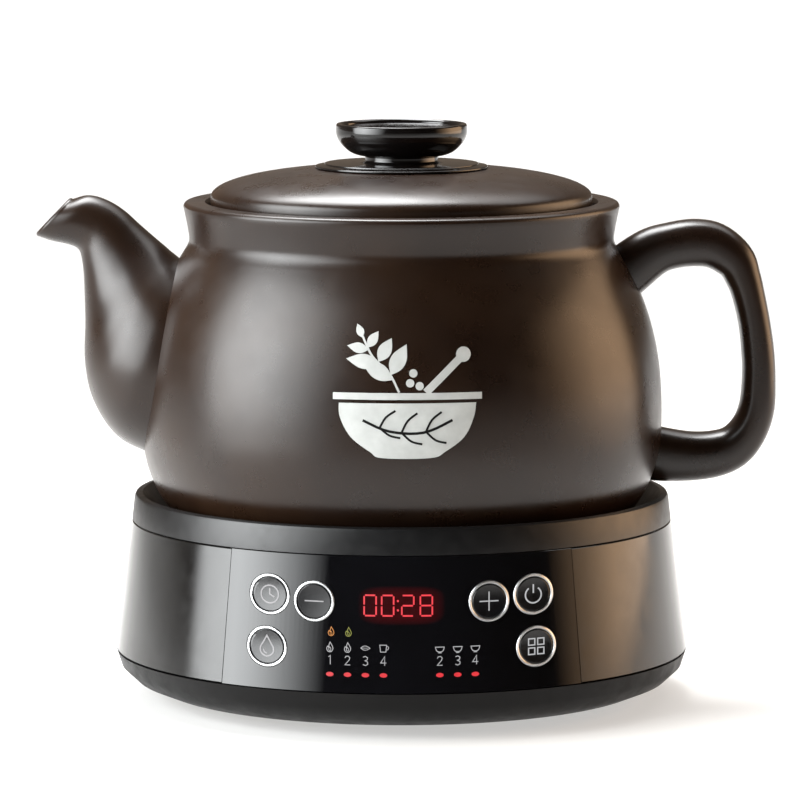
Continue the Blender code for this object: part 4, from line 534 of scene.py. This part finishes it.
def strainerDrills():
    places = [(0.0, 0.0)]
    for hole in range(strainer["holes"]):
        angle = math.tau * hole / strainer["holes"]
        places.append((strainer["pitch"] * math.cos(angle), strainer["pitch"] * math.sin(angle)))
    drills = []
    for y, z in places:
        centre = (kettle["wall"] - kettle["belly"], y, kettle["low"] + strainer["level"] + z)
        place = Matrix.Translation(scaled([centre])[0]) @ Matrix.Rotation(math.radians(90), 4, "Y")
        drill = bmesh.new()
        radius, length = strainer["radius"] * mm, (3 * kettle["wall"] + strainer["pitch"]) * mm
        size = dict(cap_ends=True, segments=strainer["sides"], radius1=radius, radius2=radius, depth=length)
        bmesh.ops.create_cone(drill, matrix=place, **size)
        drills.append(drill)
    return joinShapes(drills)


def makeKettle():
    solid = [*scaled(kettleOutside()), (0, kettle["top"] * mm)]
    bore = cutter("bore", skinned(spoutRings(spout["wall"], spout["lipWall"], 2.0)))
    wall = cutter("wall", revolved(solid, 160))
    inside = combined(bore, ("DIFFERENCE", wall))
    shape = combined(
        cutter("pot", revolved(solid, 160)),
        ("UNION", cutter("spout", skinned(spoutRings(0.0, 0.0, 0.0)))),
        ("UNION", cutter("handle", skinned(handleRings()))),
        ("DIFFERENCE", cutter("hollow", revolved(scaled(kettleInside()), 160))),
        ("DIFFERENCE", cutter("spoutBore", inside)),
        ("DIFFERENCE", cutter("strainer", strainerDrills())),
    )
    newPiece("kettle", shape, glaze, "pot", "stoneware", "ceramic_pot", "pot_spout", "pot_handle", angle=38)


# Lid and knob

lid = dict(radius=81.7, low=209.9, edge=4.5, crown=13.5, wall=4.5, power=2.2, skirt=74.5, skirtWall=3.2, skirtDepth=7.0)
vent = dict(radius=2.0, circle=64.0, angle=161)
knob = dict(
    flange=36.9, flangeEdge=1.5, step=0.7, tier=33.0, stem=15.6, collar=18.0, bowl=28.1, lip=27.4, height=18.9,
    bowlHeight=12.6, lipRound=1.3, dish=2.4, base=228.2, flangeLevel=227.1,
)


def dome(radius, inner, low, crown, steps):
    points = []
    for step in range(steps + 1):
        r = inner + (radius - inner) * math.sin(math.pi / 2 * step / steps)
        points.append((r, low + crown * max(1 - (r / radius) ** lid["power"], 0.0) ** (1 / lid["power"])))
    return points


def makeLid():
    edge, low, radius = lid["low"] + lid["edge"], lid["low"], lid["radius"]
    bore = 2.6
    inner = lid["skirt"] - lid["skirtWall"]
    skirtLow = low - lid["skirtDepth"]
    outline = dome(radius, bore, edge, lid["crown"], 48)
    corners = [outline[-1], (radius, low + lid["edge"] / 4), (radius - lid["edge"] / 4, low), (lid["skirt"], low)]
    corners += [(lid["skirt"], skirtLow), (inner, skirtLow)]
    under = dome(inner, bore, low, lid["crown"] + lid["edge"] - lid["wall"], 32)
    outline += softened([*corners, under[-1]], 0.7)[1:-1] + under[::-1]
    drill = bmesh.new()
    angle = math.radians(vent["angle"])
    place = Matrix.Translation(scaled([(vent["circle"] * math.cos(angle), vent["circle"] * math.sin(angle), low)])[0])
    size = dict(cap_ends=True, segments=32, radius1=vent["radius"] * mm, radius2=vent["radius"] * mm, depth=0.05)
    bmesh.ops.create_cone(drill, matrix=place, **size)
    shape = combined(cutter("lidShape", revolved(scaled(outline), 160)), ("DIFFERENCE", cutter("ventDrill", drill)))
    newPiece("lidDome", shape, glaze, "lid", "stoneware", "lid")


def makeKnob():
    rim = knob["flangeLevel"]
    top, bowlLow = rim + knob["height"], rim + knob["bowlHeight"]
    tier = rim + knob["flangeEdge"] + knob["step"]
    drop = bowlLow - tier
    rise = knob["dish"]
    lip, bowl = knob["lip"], knob["bowl"]
    dish = [(0, top - rise), (lip * 0.5, top - rise * 0.98), (lip * 0.86, top - rise * 0.9), (lip * 0.92, top - rise * 0.7)]
    outline = [*smoothRows(dish, 6), (lip * 0.935, top - rise * 0.3), (lip - 1.0, top), (bowl - 0.5, top - 0.1)]
    side = [(bowl - 0.1, top - 0.8), (bowl, top - 3.2), (bowl - 0.5, top - 5.6), (bowl - 1.7, top - 8.0)]
    side += [(bowl - 3.8, top - 10.4), (bowl - 6.2, top - 12.2), (knob["collar"] + 0.8, top - 13.4), (knob["stem"], top - 13.9)]
    outline += smoothRows(side, 6)
    outline += [(knob["stem"], tier + 0.7), (knob["collar"], tier), (knob["tier"], tier - knob["step"] / 3)]
    outline += [(knob["tier"], rim + knob["flangeEdge"]), (knob["flange"], rim + knob["flangeEdge"] * 0.6)]
    outline += [(knob["flange"], rim), (13.8, knob["base"] + 0.6), (13.8, knob["base"] + 3.0), (2.3, knob["base"] + 3.0)]
    outline += [(2.3, knob["base"] + 12.3), (0, knob["base"] + 12.3)]
    shape = revolved(scaled(softened(outline, 0.4)), 128)
    newPiece("knobTurned", shape, ready["glazed_black"], "lid", "glazed_black", "lid_knob")


# Front of the base: the window, its rings and buttons

drum = dict(low=20.1, high=76.4, lowRadius=122.8, topRadius=115.9)
window = dict(halfWidth=75.45, thickness=2.0, low=20.4, high=76.4, steps=72)
ring = dict(radius=8.3, width=1.05, proud=0.45, sides=64)
cap = dict(proud=0.3, dish=0.42, gap=0.3, sides=48)
digitLevel = 56.4 * mm
buttonNames = ("preset", "minus", "plus", "start", "water", "function")


def drumRadius(z):
    share = (z - drum["low"] * mm) / (drum["high"] - drum["low"]) / mm
    return (drum["lowRadius"] + (drum["topRadius"] - drum["lowRadius"]) * share) * mm


def faceY(x, z, proud=0.0):
    """The window's face, or this far out of it, in front of the point (x, z)."""
    return -math.sqrt((drumRadius(z) + proud) ** 2 - x * x)


def makeWindow():
    rings = []
    half = window["halfWidth"] / drum["topRadius"]
    for step in range(window["steps"] + 1):
        angle = half * (2 * step / window["steps"] - 1)
        corners = []
        for z in (window["low"] * mm, window["high"] * mm):
            radius = drumRadius(z)
            inner, soft = radius - window["thickness"] * mm, 0.25 * mm
            inward = soft if z < 50 * mm else -soft
            corners.append([(inner, z), (radius - soft, z), (radius, z + inward)])
        outline = corners[0] + corners[1][::-1]
        rings.append([(r * math.sin(angle), -r * math.cos(angle), z) for r, z in outline])
    drills = []
    for name in buttonNames:
        low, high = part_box("button_ring_" + name)
        middle = (low + high) / 2
        drill = bmesh.new()
        radius = (ring["radius"] + 0.25) * mm
        place = Matrix.Translation(middle) @ Matrix.Rotation(math.radians(90), 4, "X")
        bmesh.ops.create_cone(drill, cap_ends=True, segments=64, radius1=radius, radius2=radius, depth=0.08, matrix=place)
        drills.append(drill)
    shape = combined(cutter("windowShape", skinned(rings)), ("DIFFERENCE", cutter("ringDrills", joinShapes(drills))))
    newPiece("windowPanel", shape, smokedWindow(), "base", "smoked_acrylic", "control_panel")


def circle(centre, radius, sides, y):
    """A ring of points about a centre (x, z); y is a number, or gives the depth at (x, z)."""
    points = []
    for side in range(sides):
        angle = math.tau * side / sides
        x, z = centre[0] + radius * math.cos(angle), centre[1] + radius * math.sin(angle)
        points.append((x, y(x, z) if callable(y) else y, z))
    return points


def capFace(centre, lift=0.0):
    """The dished face of the cap about this centre (x, z), or this many mm out of it."""
    edge = (ring["radius"] - ring["width"] - cap["gap"]) * mm

    def face(x, z):
        share = min(math.hypot(x - centre[0], z - centre[1]) / edge, 1.0)
        return faceY(x, z, (cap["proud"] - cap["dish"] * (1 - share**2) + lift) * mm)

    return face


def makeButtons():
    for name in buttonNames:
        low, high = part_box("button_ring_" + name)
        centre = ((low.x + high.x) / 2, (low.z + high.z) / 2)
        outer, inner = ring["radius"] * mm, (ring["radius"] - ring["width"]) * mm
        soft = 0.35 * mm
        profile = [(outer, high.y), (outer, ring["proud"] - 0.3), (outer - soft, ring["proud"])]
        profile += [(inner + soft, ring["proud"]), (inner, ring["proud"] - 0.3), (inner, high.y)]
        rows = []
        for radius, depth in profile:
            face = depth if depth == high.y else lambda x, z, p=depth: faceY(x, z, p * mm)
            rows.append(circle(centre, radius, ring["sides"], face))
        shape = bmesh.new()
        made = [[shape.verts.new(point) for point in row] for row in rows]
        for row, following in zip(made, made[1:] + made[:1]):
            for i in range(ring["sides"]):
                j = (i + 1) % ring["sides"]
                shape.faces.new((row[i], row[j], following[j], following[i]))
        newPiece(f"{name}Ring", shape, ready["bright_chrome"], "base", "bright_chrome", "button_ring_" + name)
        low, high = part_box("button_" + name)
        edge = inner - cap["gap"] * mm
        flange, stem = outer - 0.2 * mm, 2.2 * mm
        flangeY = high.y - 1.5 * mm
        rows = [circle(centre, edge * share, cap["sides"], capFace(centre)) for share in (0.15, 0.3, 0.45, 0.6, 0.75, 0.88, 0.95)]
        rows.append(circle(centre, edge, cap["sides"], faceY))
        for radius, y in ((edge, flangeY), (flange, flangeY), (flange, flangeY + 1.2 * mm), (stem, flangeY + 1.2 * mm), (stem, high.y)):
            rows.append(circle(centre, radius, cap["sides"], y))
        newPiece(f"{name}Cap", skinned(rows), ready["button_plastic"], f"{name}_button", "button_plastic", "button_" + name)


# Prints and lights on the face. Shapes are drawn flat in mm, cut into cells and laid on the surface.


def stroke(points, width, closed=False):
    """A line of this width as four-sided faces, mitred where it bends."""
    points = [Vector(point) for point in points]
    count = len(points)
    sides = []
    for index, point in enumerate(points):
        before = points[index - 1] if index or closed else None
        after = points[(index + 1) % count] if index < count - 1 or closed else None
        into = (point - before).normalized() if before is not None else (after - point).normalized()
        out = (after - point).normalized() if after is not None else into
        normal = Vector((-(into + out).y, (into + out).x)).normalized()
        reach = width / 2 / max(normal.dot(Vector((-into.y, into.x))), 0.5)
        sides.append((point + normal * reach, point - normal * reach))
    pairs = list(zip(sides, sides[1:] + sides[:1]))
    return [(a, b, d, c) for (a, b), (c, d) in (pairs if closed else pairs[:-1])]


def rounded(centre, width, height, power=2.0, sides=28):
    """A filled ellipse, or a rounded box where the power is higher."""
    points = []
    for side in range(sides):
        angle = math.tau * side / sides
        u = math.copysign(abs(math.cos(angle)) ** (2 / power), math.cos(angle))
        v = math.copysign(abs(math.sin(angle)) ** (2 / power), math.sin(angle))
        points.append(Vector((centre[0] + u * width / 2, centre[1] + v * height / 2)))
    return points


def curved(points, steps=6):
    return [Vector(point) for point in smoothRows(points, steps)]


def printed(name, faces, place, finish, body, slot, lift=0.06, thick=0.08, cell=2.5):
    """Lays flat faces on a surface as a thin closed skin. place(x, y, out) gives a point of the surface."""
    flat = bmesh.new()
    for face in faces:
        flat.faces.new([flat.verts.new((point[0], point[1], 0)) for point in face])
    bmesh.ops.remove_doubles(flat, verts=flat.verts, dist=0.001)
    bmesh.ops.triangulate(flat, faces=flat.faces)
    reach = [[vertex.co[axis] for vertex in flat.verts] for axis in (0, 1)]
    for axis, values in enumerate(reach):
        normal = (1, 0, 0) if axis == 0 else (0, 1, 0)
        for cut in range(math.ceil(min(values) / cell), math.floor(max(values) / cell) + 1):
            whole = [*flat.verts, *flat.edges, *flat.faces]
            point = tuple(part * cut * cell for part in normal)
            bmesh.ops.bisect_plane(flat, geom=whole, dist=0.0001, plane_co=point, plane_no=normal)
    shape = bmesh.new()
    layers = []
    for out in (lift, lift + thick):
        layers.append({v: shape.verts.new(place(v.co.x, v.co.y, out)) for v in flat.verts})
    for face in flat.faces:
        shape.faces.new([layers[1][v] for v in face.verts])
        shape.faces.new([layers[0][v] for v in reversed(face.verts)])
    for edge in flat.edges:
        if edge.is_boundary:
            a, b = edge.verts
            shape.faces.new((layers[0][a], layers[0][b], layers[1][b], layers[1][a]))
    flat.free()
    return newPiece(name, shape, finish, body, slot)


def onFace(x, z, out):
    return (x * mm, faceY(x * mm, z * mm, out * mm), z * mm)


def moved(faces, across, up, size=1.0):
    return [[Vector((point[0] * size + across, point[1] * size + up)) for point in face] for face in faces]


digit = dict(width=4.9, height=8.3, stroke=0.66, gap=0.35)
digitPlaces = {-12.9: "0", -5.7: "0", 2.55: "2", 10.15: "8"}
segments = {"0": "abcdef", "2": "abged", "8": "abcdefg"}


def digitFaces(shown):
    """The lit bars of one digit, centred on its middle."""
    w, h, gap = digit["width"] / 2, digit["height"] / 2, digit["gap"]
    bars = {
        "a": ((-w + gap, h), (w - gap, h)), "d": ((-w + gap, -h), (w - gap, -h)), "g": ((-w + gap, 0), (w - gap, 0)),
        "b": ((w, gap), (w, h - gap)), "c": ((w, -h + gap), (w, -gap)),
        "e": ((-w, -h + gap), (-w, -gap)), "f": ((-w, gap), (-w, h - gap)),
    }
    return [face for bar in segments[shown] for face in stroke(bars[bar], digit["stroke"])]


# Small generic symbols, each about 8 mm across and drawn about its middle
def clockFaces():
    dial = [(3.6 * math.cos(math.tau * i / 36), 3.6 * math.sin(math.tau * i / 36)) for i in range(36)]
    return stroke(dial, 0.55, closed=True) + stroke([(0, 2.4), (0, 0), (1.9, -1.1)], 0.55)


def dropFaces():
    points = [(0, 4.4), (1.5, 1.7), (2.7, -0.6), (2.3, -2.8), (0, -4.0), (-2.3, -2.8), (-2.7, -0.6), (-1.5, 1.7)]
    return stroke(curved([*points, points[0]], 4)[:-1], 0.55, closed=True) + stroke(curved([(-1.4, -1.2), (-1.0, -2.3), (0, -2.8)]), 0.45)


def powerFaces():
    bow = [(3.3 * math.cos(math.radians(a)), 3.3 * math.sin(math.radians(a)) - 0.3) for a in range(125, 416, 10)]
    return stroke(bow, 0.6) + stroke([(0, 0.4), (0, 4.0)], 0.6)


def squaresFaces():
    faces = []
    for x, y in ((-1.9, 1.9), (1.9, 1.9), (-1.9, -1.9), (1.9, -1.9)):
        corners = [(x - 1.3, y - 1.3), (x + 1.3, y - 1.3), (x + 1.3, y + 1.3), (x - 1.3, y + 1.3)]
        faces += stroke(corners, 0.5, closed=True)
    return faces


def flameFaces():
    points = [(0.2, 4.0), (1.7, 1.6), (2.6, -1.0), (1.6, -3.2), (0, -3.8), (-1.7, -3.2), (-2.5, -1.2), (-1.7, 0.8), (-0.9, -0.2), (-0.6, 2.0)]
    inner = [(0, 0.2), (0.9, -1.4), (0.5, -2.8), (-0.6, -2.6), (-0.8, -1.2)]
    return stroke(curved([*points, points[0]], 4)[:-1], 0.6, closed=True) + stroke(curved([*inner, inner[0]], 3)[:-1], 0.45, closed=True)


def bowlFaces():
    points = [(-3.6, 0.8), (-2.9, -1.7), (-1.4, -3.0), (1.4, -3.0), (2.9, -1.7), (3.6, 0.8)]
    return stroke([*curved(points, 4)[:-1], (3.6, 0.8)], 0.6, closed=True) + stroke([(-1.4, -3.9), (1.4, -3.9)], 0.6)


def steamFaces():
    faces = []
    for x in (-1.6, 0, 1.6):
        faces += stroke(curved([(x, 1.8), (x + 0.5, 2.6), (x - 0.3, 3.5), (x + 0.2, 4.4)], 4), 0.45)
    return faces


def leafFaces(length=7.6, width=3.6):
    half = length / 2
    side = [(-half, 0), (-half * 0.4, width * 0.42), (half * 0.3, width * 0.42), (half, 0)]
    other = [(x, -y) for x, y in side[::-1]]
    edge = curved(side, 4)[:-1] + curved(other, 4)[:-1]
    return stroke(edge, 0.5, closed=True) + stroke([(-half, 0), (half * 0.55, 0)], 0.4)


def cupFaces():
    body = [(-3.0, 2.6), (-2.4, -3.0), (2.0, -3.0), (2.6, 2.6)]
    ear = curved([(2.5, 1.6), (4.1, 1.1), (3.8, -0.9), (2.3, -1.2)], 4)
    return stroke(body, 0.6, closed=True) + stroke(ear, 0.5)


strokes = {
    "1": [[(-1.1, 2.4), (0.4, 3.6), (0.4, -3.6)]],
    "2": [[(-2.0, 2.0), (-1.2, 3.4), (0.8, 3.5), (1.9, 2.2), (1.4, 0.4), (-2.1, -3.6), (2.2, -3.6)]],
    "3": [[(-1.9, 3.0), (0, 3.7), (1.8, 2.6), (1.5, 0.8), (-0.3, 0.1), (1.8, -0.9), (1.9, -2.8), (0, -3.8), (-2.0, -3.0)]],
    "4": [[(1.0, -3.7), (1.0, 3.7), (-2.3, -1.5), (2.4, -1.5)]],
}


def numeralFaces(character):
    return [face for line in strokes[character] for face in stroke(line, 0.6)]


lightAngles = (-14.0, -10.5, -7.0, -3.5, 7.4, 10.9, 14.4)
labels = (flameFaces, flameFaces, leafFaces, cupFaces, bowlFaces, bowlFaces, bowlFaces)
labelNumerals = ("1", "2", "3", "4", "2", "3", "4")
buttonIcons = {"preset": clockFaces, "start": powerFaces, "water": dropFaces, "function": squaresFaces}


def makePrints():
    # The white print glows: a painted glow in place of a pale colour.
    white, red = glowing("printed_white_painted_glow", "#dfe3e6", 0.62), glowing("lit_red", "#f03a46", 1.1)
    lamp = glowing("lamp_red", "#f4303a", 0.85)
    amber, lime = glowing("lamp_amber", "#e8963a", 0.8), glowing("lamp_lime", "#a7b045", 0.7)
    faces = []
    for across, shown in digitPlaces.items():
        faces += moved(digitFaces(shown), across, digitLevel / mm)
    for up in (-1.9, 1.9):
        faces.append(rounded((-1.5, digitLevel / mm + up), 0.9, 0.9))
    printed("displayDigits", faces, onFace, red, "base", "smoked_acrylic")
    lamps, marks = [], []
    for angle, label, numeral in zip(lightAngles, labels, labelNumerals):
        x = drumRadius(28 * mm) / mm * math.sin(math.radians(angle))
        lamps.append(rounded((x, 28.0), 3.1, 1.8))
        marks += moved(label(), x, 39.0, 0.5)
        marks += moved(numeralFaces(numeral), x, 33.8, 0.5)
    printed("indicatorLamps", lamps, onFace, lamp, "base", "smoked_acrylic")
    printed("windowMarks", marks, onFace, white, "base", "smoked_acrylic")
    for index, (name, finish) in enumerate((("strongFlame", amber), ("lowFlame", lime))):
        x = drumRadius(45 * mm) / mm * math.sin(math.radians(lightAngles[index]))
        printed(name, moved(flameFaces(), x, 45.4, 0.46), onFace, finish, "base", "smoked_acrylic")
    for name in buttonNames:
        low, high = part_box("button_ring_" + name)
        x, z = (low.x + high.x) / 2 / mm, (low.z + high.z) / 2 / mm
        bars = {"minus": stroke([(-3.9, 0), (3.9, 0)], 0.5)}
        bars["plus"] = bars["minus"] + stroke([(0, -3.9), (0, -0.25)], 0.5) + stroke([(0, 0.25), (0, 3.9)], 0.5)
        faces = bars[name] if name in bars else buttonIcons[name]()
        place = lambda across, up, out, c=(x * mm, z * mm): (across * mm, capFace(c, out)(across * mm, up * mm), up * mm)
        printed(f"{name}Icon", moved(faces, x, z), place, white, f"{name}_button", "button_plastic", lift=0.03, cell=1.2)


# Silver picture of a mortar and a herb sprig on the belly

picture = dict(x=1.0, z=141.0)


def bellyRadius(z):
    """The kettle's outer radius in mm at this height."""
    side = kettleSide(0, kettle["low"], 60)
    for (r1, z1), (r2, z2) in zip(side, side[1:]):
        if z1 <= z <= z2:
            return r1 + (r2 - r1) * (z - z1) / (z2 - z1)
    return side[-1][0]


def onBelly(x, z, out):
    radius = bellyRadius(z + picture["z"]) + out
    angle = (x + picture["x"]) / radius
    return (radius * math.sin(angle) * mm, -radius * math.cos(angle) * mm, (z + picture["z"]) * mm)


def leafShape(start, angle, length, width):
    turn = math.radians(angle)
    along, across = Vector((math.cos(turn), math.sin(turn))), Vector((-math.sin(turn), math.cos(turn)))
    rows = [(0, 0), (0.28, 0.43), (0.6, 0.46), (1, 0)]
    side = curved([tuple(Vector(start) + along * (u * length) + across * (v * width)) for u, v in rows], 5)
    back = curved([tuple(Vector(start) + along * (u * length) - across * (v * width)) for u, v in rows], 5)
    return [side + back[::-1][1:-1]]


def makePicture():
    silver = plainFinish("silver_print", dict(colour="#b9bbb8", other="#c9cbc8", patch=8, grain=0.3, depth=0.006, gloss=(0.35, 0.5)))
    ink = ready["black_plastic"]
    bowl = curved([(-27, -2), (-26.5, -8), (-22, -16), (-14, -22), (-9, -24.5), (11, -24.5), (17, -22), (25, -16), (29, -8), (30, -2)], 6)
    faces = [bowl, [(-29.5, 2.2), (-29.5, -0.6), (32.5, -0.6), (32.5, 2.2)]]
    stem = curved([(-2, 2.4), (-6, 10), (-13, 17), (-17, 25)], 6)
    faces += stroke(stem, 0.9)
    for start, angle, length, width in (
        ((-4.5, 7.5), 150, 15, 6.5), ((-5.5, 9.5), 62, 14, 6.5), ((-10, 14), 172, 14, 6), ((-10.5, 14.8), 60, 11, 5.5),
        ((-14.6, 19.6), 170, 9, 4.2), ((-15, 20.5), 55, 8, 4), ((-17, 24.4), 112, 6, 3.2),
    ):
        faces += leafShape(start, angle, length, width)
    faces += stroke([(9, 2.4), (23, 16)], 3.2)
    faces.append(rounded((24.6, 17.6), 6.2, 6.2))
    for place in ((2.5, 6.2), (6.4, 5.0), (3.8, 10.2)):
        faces.append(rounded(place, 3.4, 3.4))
    printed("sprigPicture", faces, onBelly, silver, "pot", "stoneware", lift=0.1, thick=0.1, cell=3.0)
    veins = stroke(curved([(-17, -9), (-6, -13.5), (8, -14), (20, -9)], 5), 1.1)
    for x, y, tip in ((-10, -12, 7), (-1, -14, 8), (9, -13.6, 8)):
        veins += stroke(curved([(x, y), (x + 2.5, y + tip * 0.6), (x + 6.5, y + tip)], 4), 0.9)
        veins += stroke(curved([(x, y), (x + 4, y - tip * 0.45), (x + 8.5, y - tip * 0.6)], 4), 0.9)
    printed("sprigVeins", veins, onBelly, ink, "pot", "stoneware", lift=0.21, thick=0.06, cell=3.0)


# Base and the pieces under the kettle keep the solid's own form, bent onto true circles


def makeBase():
    newPiece("ringBand", trueRound("top_ring", 32, 5), ready["satin_grey_plastic"], "base", "satin_grey_plastic", "top_ring")
    newPiece("drumShell", trueRound("base_shell", 32, 5), ready["gloss_black_plastic"], "base", "gloss_black_plastic", "base_shell")
    newPiece("chassisBowl", trueRound("bottom_chassis", 32, 5), ready["black_plastic"], "base", "black_plastic", "bottom_chassis")
    newPiece("platePolished", trueRound("heating_plate", 32, 5), ready["aluminium"], "base", "aluminium", "heating_plate")
    newPiece("probeCap", trueRound("sensor_cap", 12, 4), ready["aluminium"], "sensor", "aluminium", "sensor_cap")
    for number in range(1, 5):
        node = f"rubber_foot_{number}"
        low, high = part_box(node)
        middle = ((low.x + high.x) / 2, (low.y + high.y) / 2)
        newPiece(f"foot{number}", trueRound(node, 12, 4, centre=middle), ready["rubber"], "base", "rubber", node)


glaze = stoneware()
makeKettle()
print("kettle made")
makeLid()
makeKnob()
makeBase()
print("lid and base made")
makeWindow()
makeButtons()
makePrints()
makePicture()
print("front made")
slots = {part["node"]: part["material_slot"] for part in frame["record"]["subparts"]}
for name, node in nodes.items():
    if not node.hide_render:
        node.data.materials.clear()
        node.data.materials.append(ready[slots[name]])
print("solids painted")


# Floor, light and camera


kettleMiddle = Vector((0, 0, 0.13))


def makeFloor():
    shape = bmesh.new()
    bmesh.ops.create_grid(shape, x_segments=1, y_segments=1, size=9.0)
    bmesh.ops.translate(shape, vec=(0, 0, cadLow.z - 0.0002), verts=shape.verts)
    made, tree, shader = material("pale_floor")
    cloud = noise(tree, 0.6).outputs["Fac"]
    tree.links.new(remap(tree, cloud, 0.7, 0.78), shader.inputs["Roughness"])
    shader.inputs["Base Color"].default_value = linear("#b4b4b3")
    shader.inputs["Specular IOR Level"].default_value = 0.15
    rays = addNode(tree, "LightPath").outputs
    seen = addNode(tree, "Math", {0: rays["Is Camera Ray"], 1: rays["Is Glossy Ray"]}, operation="MAXIMUM").outputs[0]
    seen = addNode(tree, "Math", {0: seen, 1: rays["Is Transmission Ray"]}, operation="MAXIMUM").outputs[0]
    depth = addNode(tree, "SeparateXYZ", {"Vector": addNode(tree, "TexCoord").outputs["Object"]}).outputs["Y"]
    # Painted glow on the floor, seen by camera, glossy and transmission rays; it is weaker towards the front.
    paintedFloorGlow = addNode(tree, "Math", {0: seen, 1: remap(tree, depth, 0.22, 0.5, -1.3, -0.4)}, operation="MULTIPLY").outputs[0]
    shader.inputs["Emission Color"].default_value = linear("#fffefc")
    tree.links.new(paintedFloorGlow, shader.inputs["Emission Strength"])
    floor = newPiece("floor", shape, made, None, None)


def softbox(name, place, aim, width, height, strength, colour, fade=(0.0, 0.0), spread=180):
    """A flat light facing its aim, dimmed towards either side by the fades. The spread is its beam in degrees."""
    data = bpy.data.lights.new(name, "AREA")
    data.shape = "RECTANGLE"
    data.size, data.size_y = width, height
    data.energy = math.pi * width * height
    data.spread = math.radians(spread)
    data.use_nodes = True
    tree = data.node_tree
    shade = tree.nodes["Emission"]
    shade.inputs["Color"].default_value = linear(colour)
    across = addNode(tree, "SeparateXYZ", {"Vector": addNode(tree, "NewGeometry").outputs["Parametric"]}).outputs["X"]
    left = remap(tree, across, 0, 1, 0, max(fade[0], 0.001))
    right = remap(tree, across, 1, 0, 1 - max(fade[1], 0.001), 1)
    both = addNode(tree, "Math", {0: left, 1: right}, operation="MULTIPLY").outputs[0]
    power = addNode(tree, "Math", {0: both, 1: strength}, operation="MULTIPLY").outputs[0]
    tree.links.new(power, shade.inputs["Strength"])
    light = bpy.data.objects.new(name, data)
    bpy.context.scene.collection.objects.link(light)
    light.location = place
    light.rotation_euler = (Vector(place) - Vector(aim)).to_track_quat("Z", "Y").to_euler()


def around(azimuth, level, distance):
    """A place round the kettle. The azimuth is 0 on the camera's side and grows to the right."""
    angle, rise = math.radians(azimuth), math.radians(level)
    return Vector((math.sin(angle) * math.cos(rise), -math.cos(angle) * math.cos(rise), math.sin(rise))) * distance + kettleMiddle


def makeWorld():
    world = bpy.data.worlds.new("studio")
    bpy.context.scene.world = world
    world.use_nodes = True
    tree = world.node_tree
    place = addNode(tree, "SeparateXYZ", {"Vector": addNode(tree, "TexCoord").outputs["Generated"]})
    shade = addNode(tree, "MapRange", {"Value": place.outputs["Y"], "From Min": -0.5, "From Max": 0.5, "To Min": 0.03, "To Max": 0.26})
    tree.links.new(shade.outputs["Result"], tree.nodes["Background"].inputs["Strength"])
    tree.nodes["Background"].inputs["Color"].default_value = linear("#d9c3ae")


def makeCamera():
    pitch = math.radians(7.0)
    target = Vector((-0.00065, 0, 0.1268))
    data = bpy.data.cameras.new("camera")
    data.lens = 243
    data.sensor_width = 36
    camera = bpy.data.objects.new("camera", data)
    bpy.context.scene.collection.objects.link(camera)
    camera.location = target + Vector((0, -math.cos(pitch), math.sin(pitch))) * 2.322
    camera.rotation_euler = (math.pi / 2 - pitch, 0, 0)
    bpy.context.scene.camera = camera


makeFloor()
makeWorld()
softbox("leftBox", around(-61.5, 19, 1.2), kettleMiddle, 1.6, 1.15, 5.2, "#f6f9fa", (0.12, 0.6), 100)
softbox("rightBox", around(97, 12, 1.3), kettleMiddle, 1.9, 0.8, 1.5, "#ffd2a6", (0.5, 0.1), 100)
softbox("topBox", (-0.3, 0.46, 1.45), (0, 0, 0.2), 1.2, 0.9, 5.7, "#f6f7f8", (0.15, 0.45), 100)
softbox("farPanel", (0, 5.0, 6.5), (0, 5.0, 0), 12.0, 8.0, 1.9, "#ffffff", spread=110)
makeCamera()
scene = bpy.context.scene
scene.view_settings.view_transform = "Standard"
scene.render.resolution_x = 800
scene.render.resolution_y = 800
print("light and camera set")
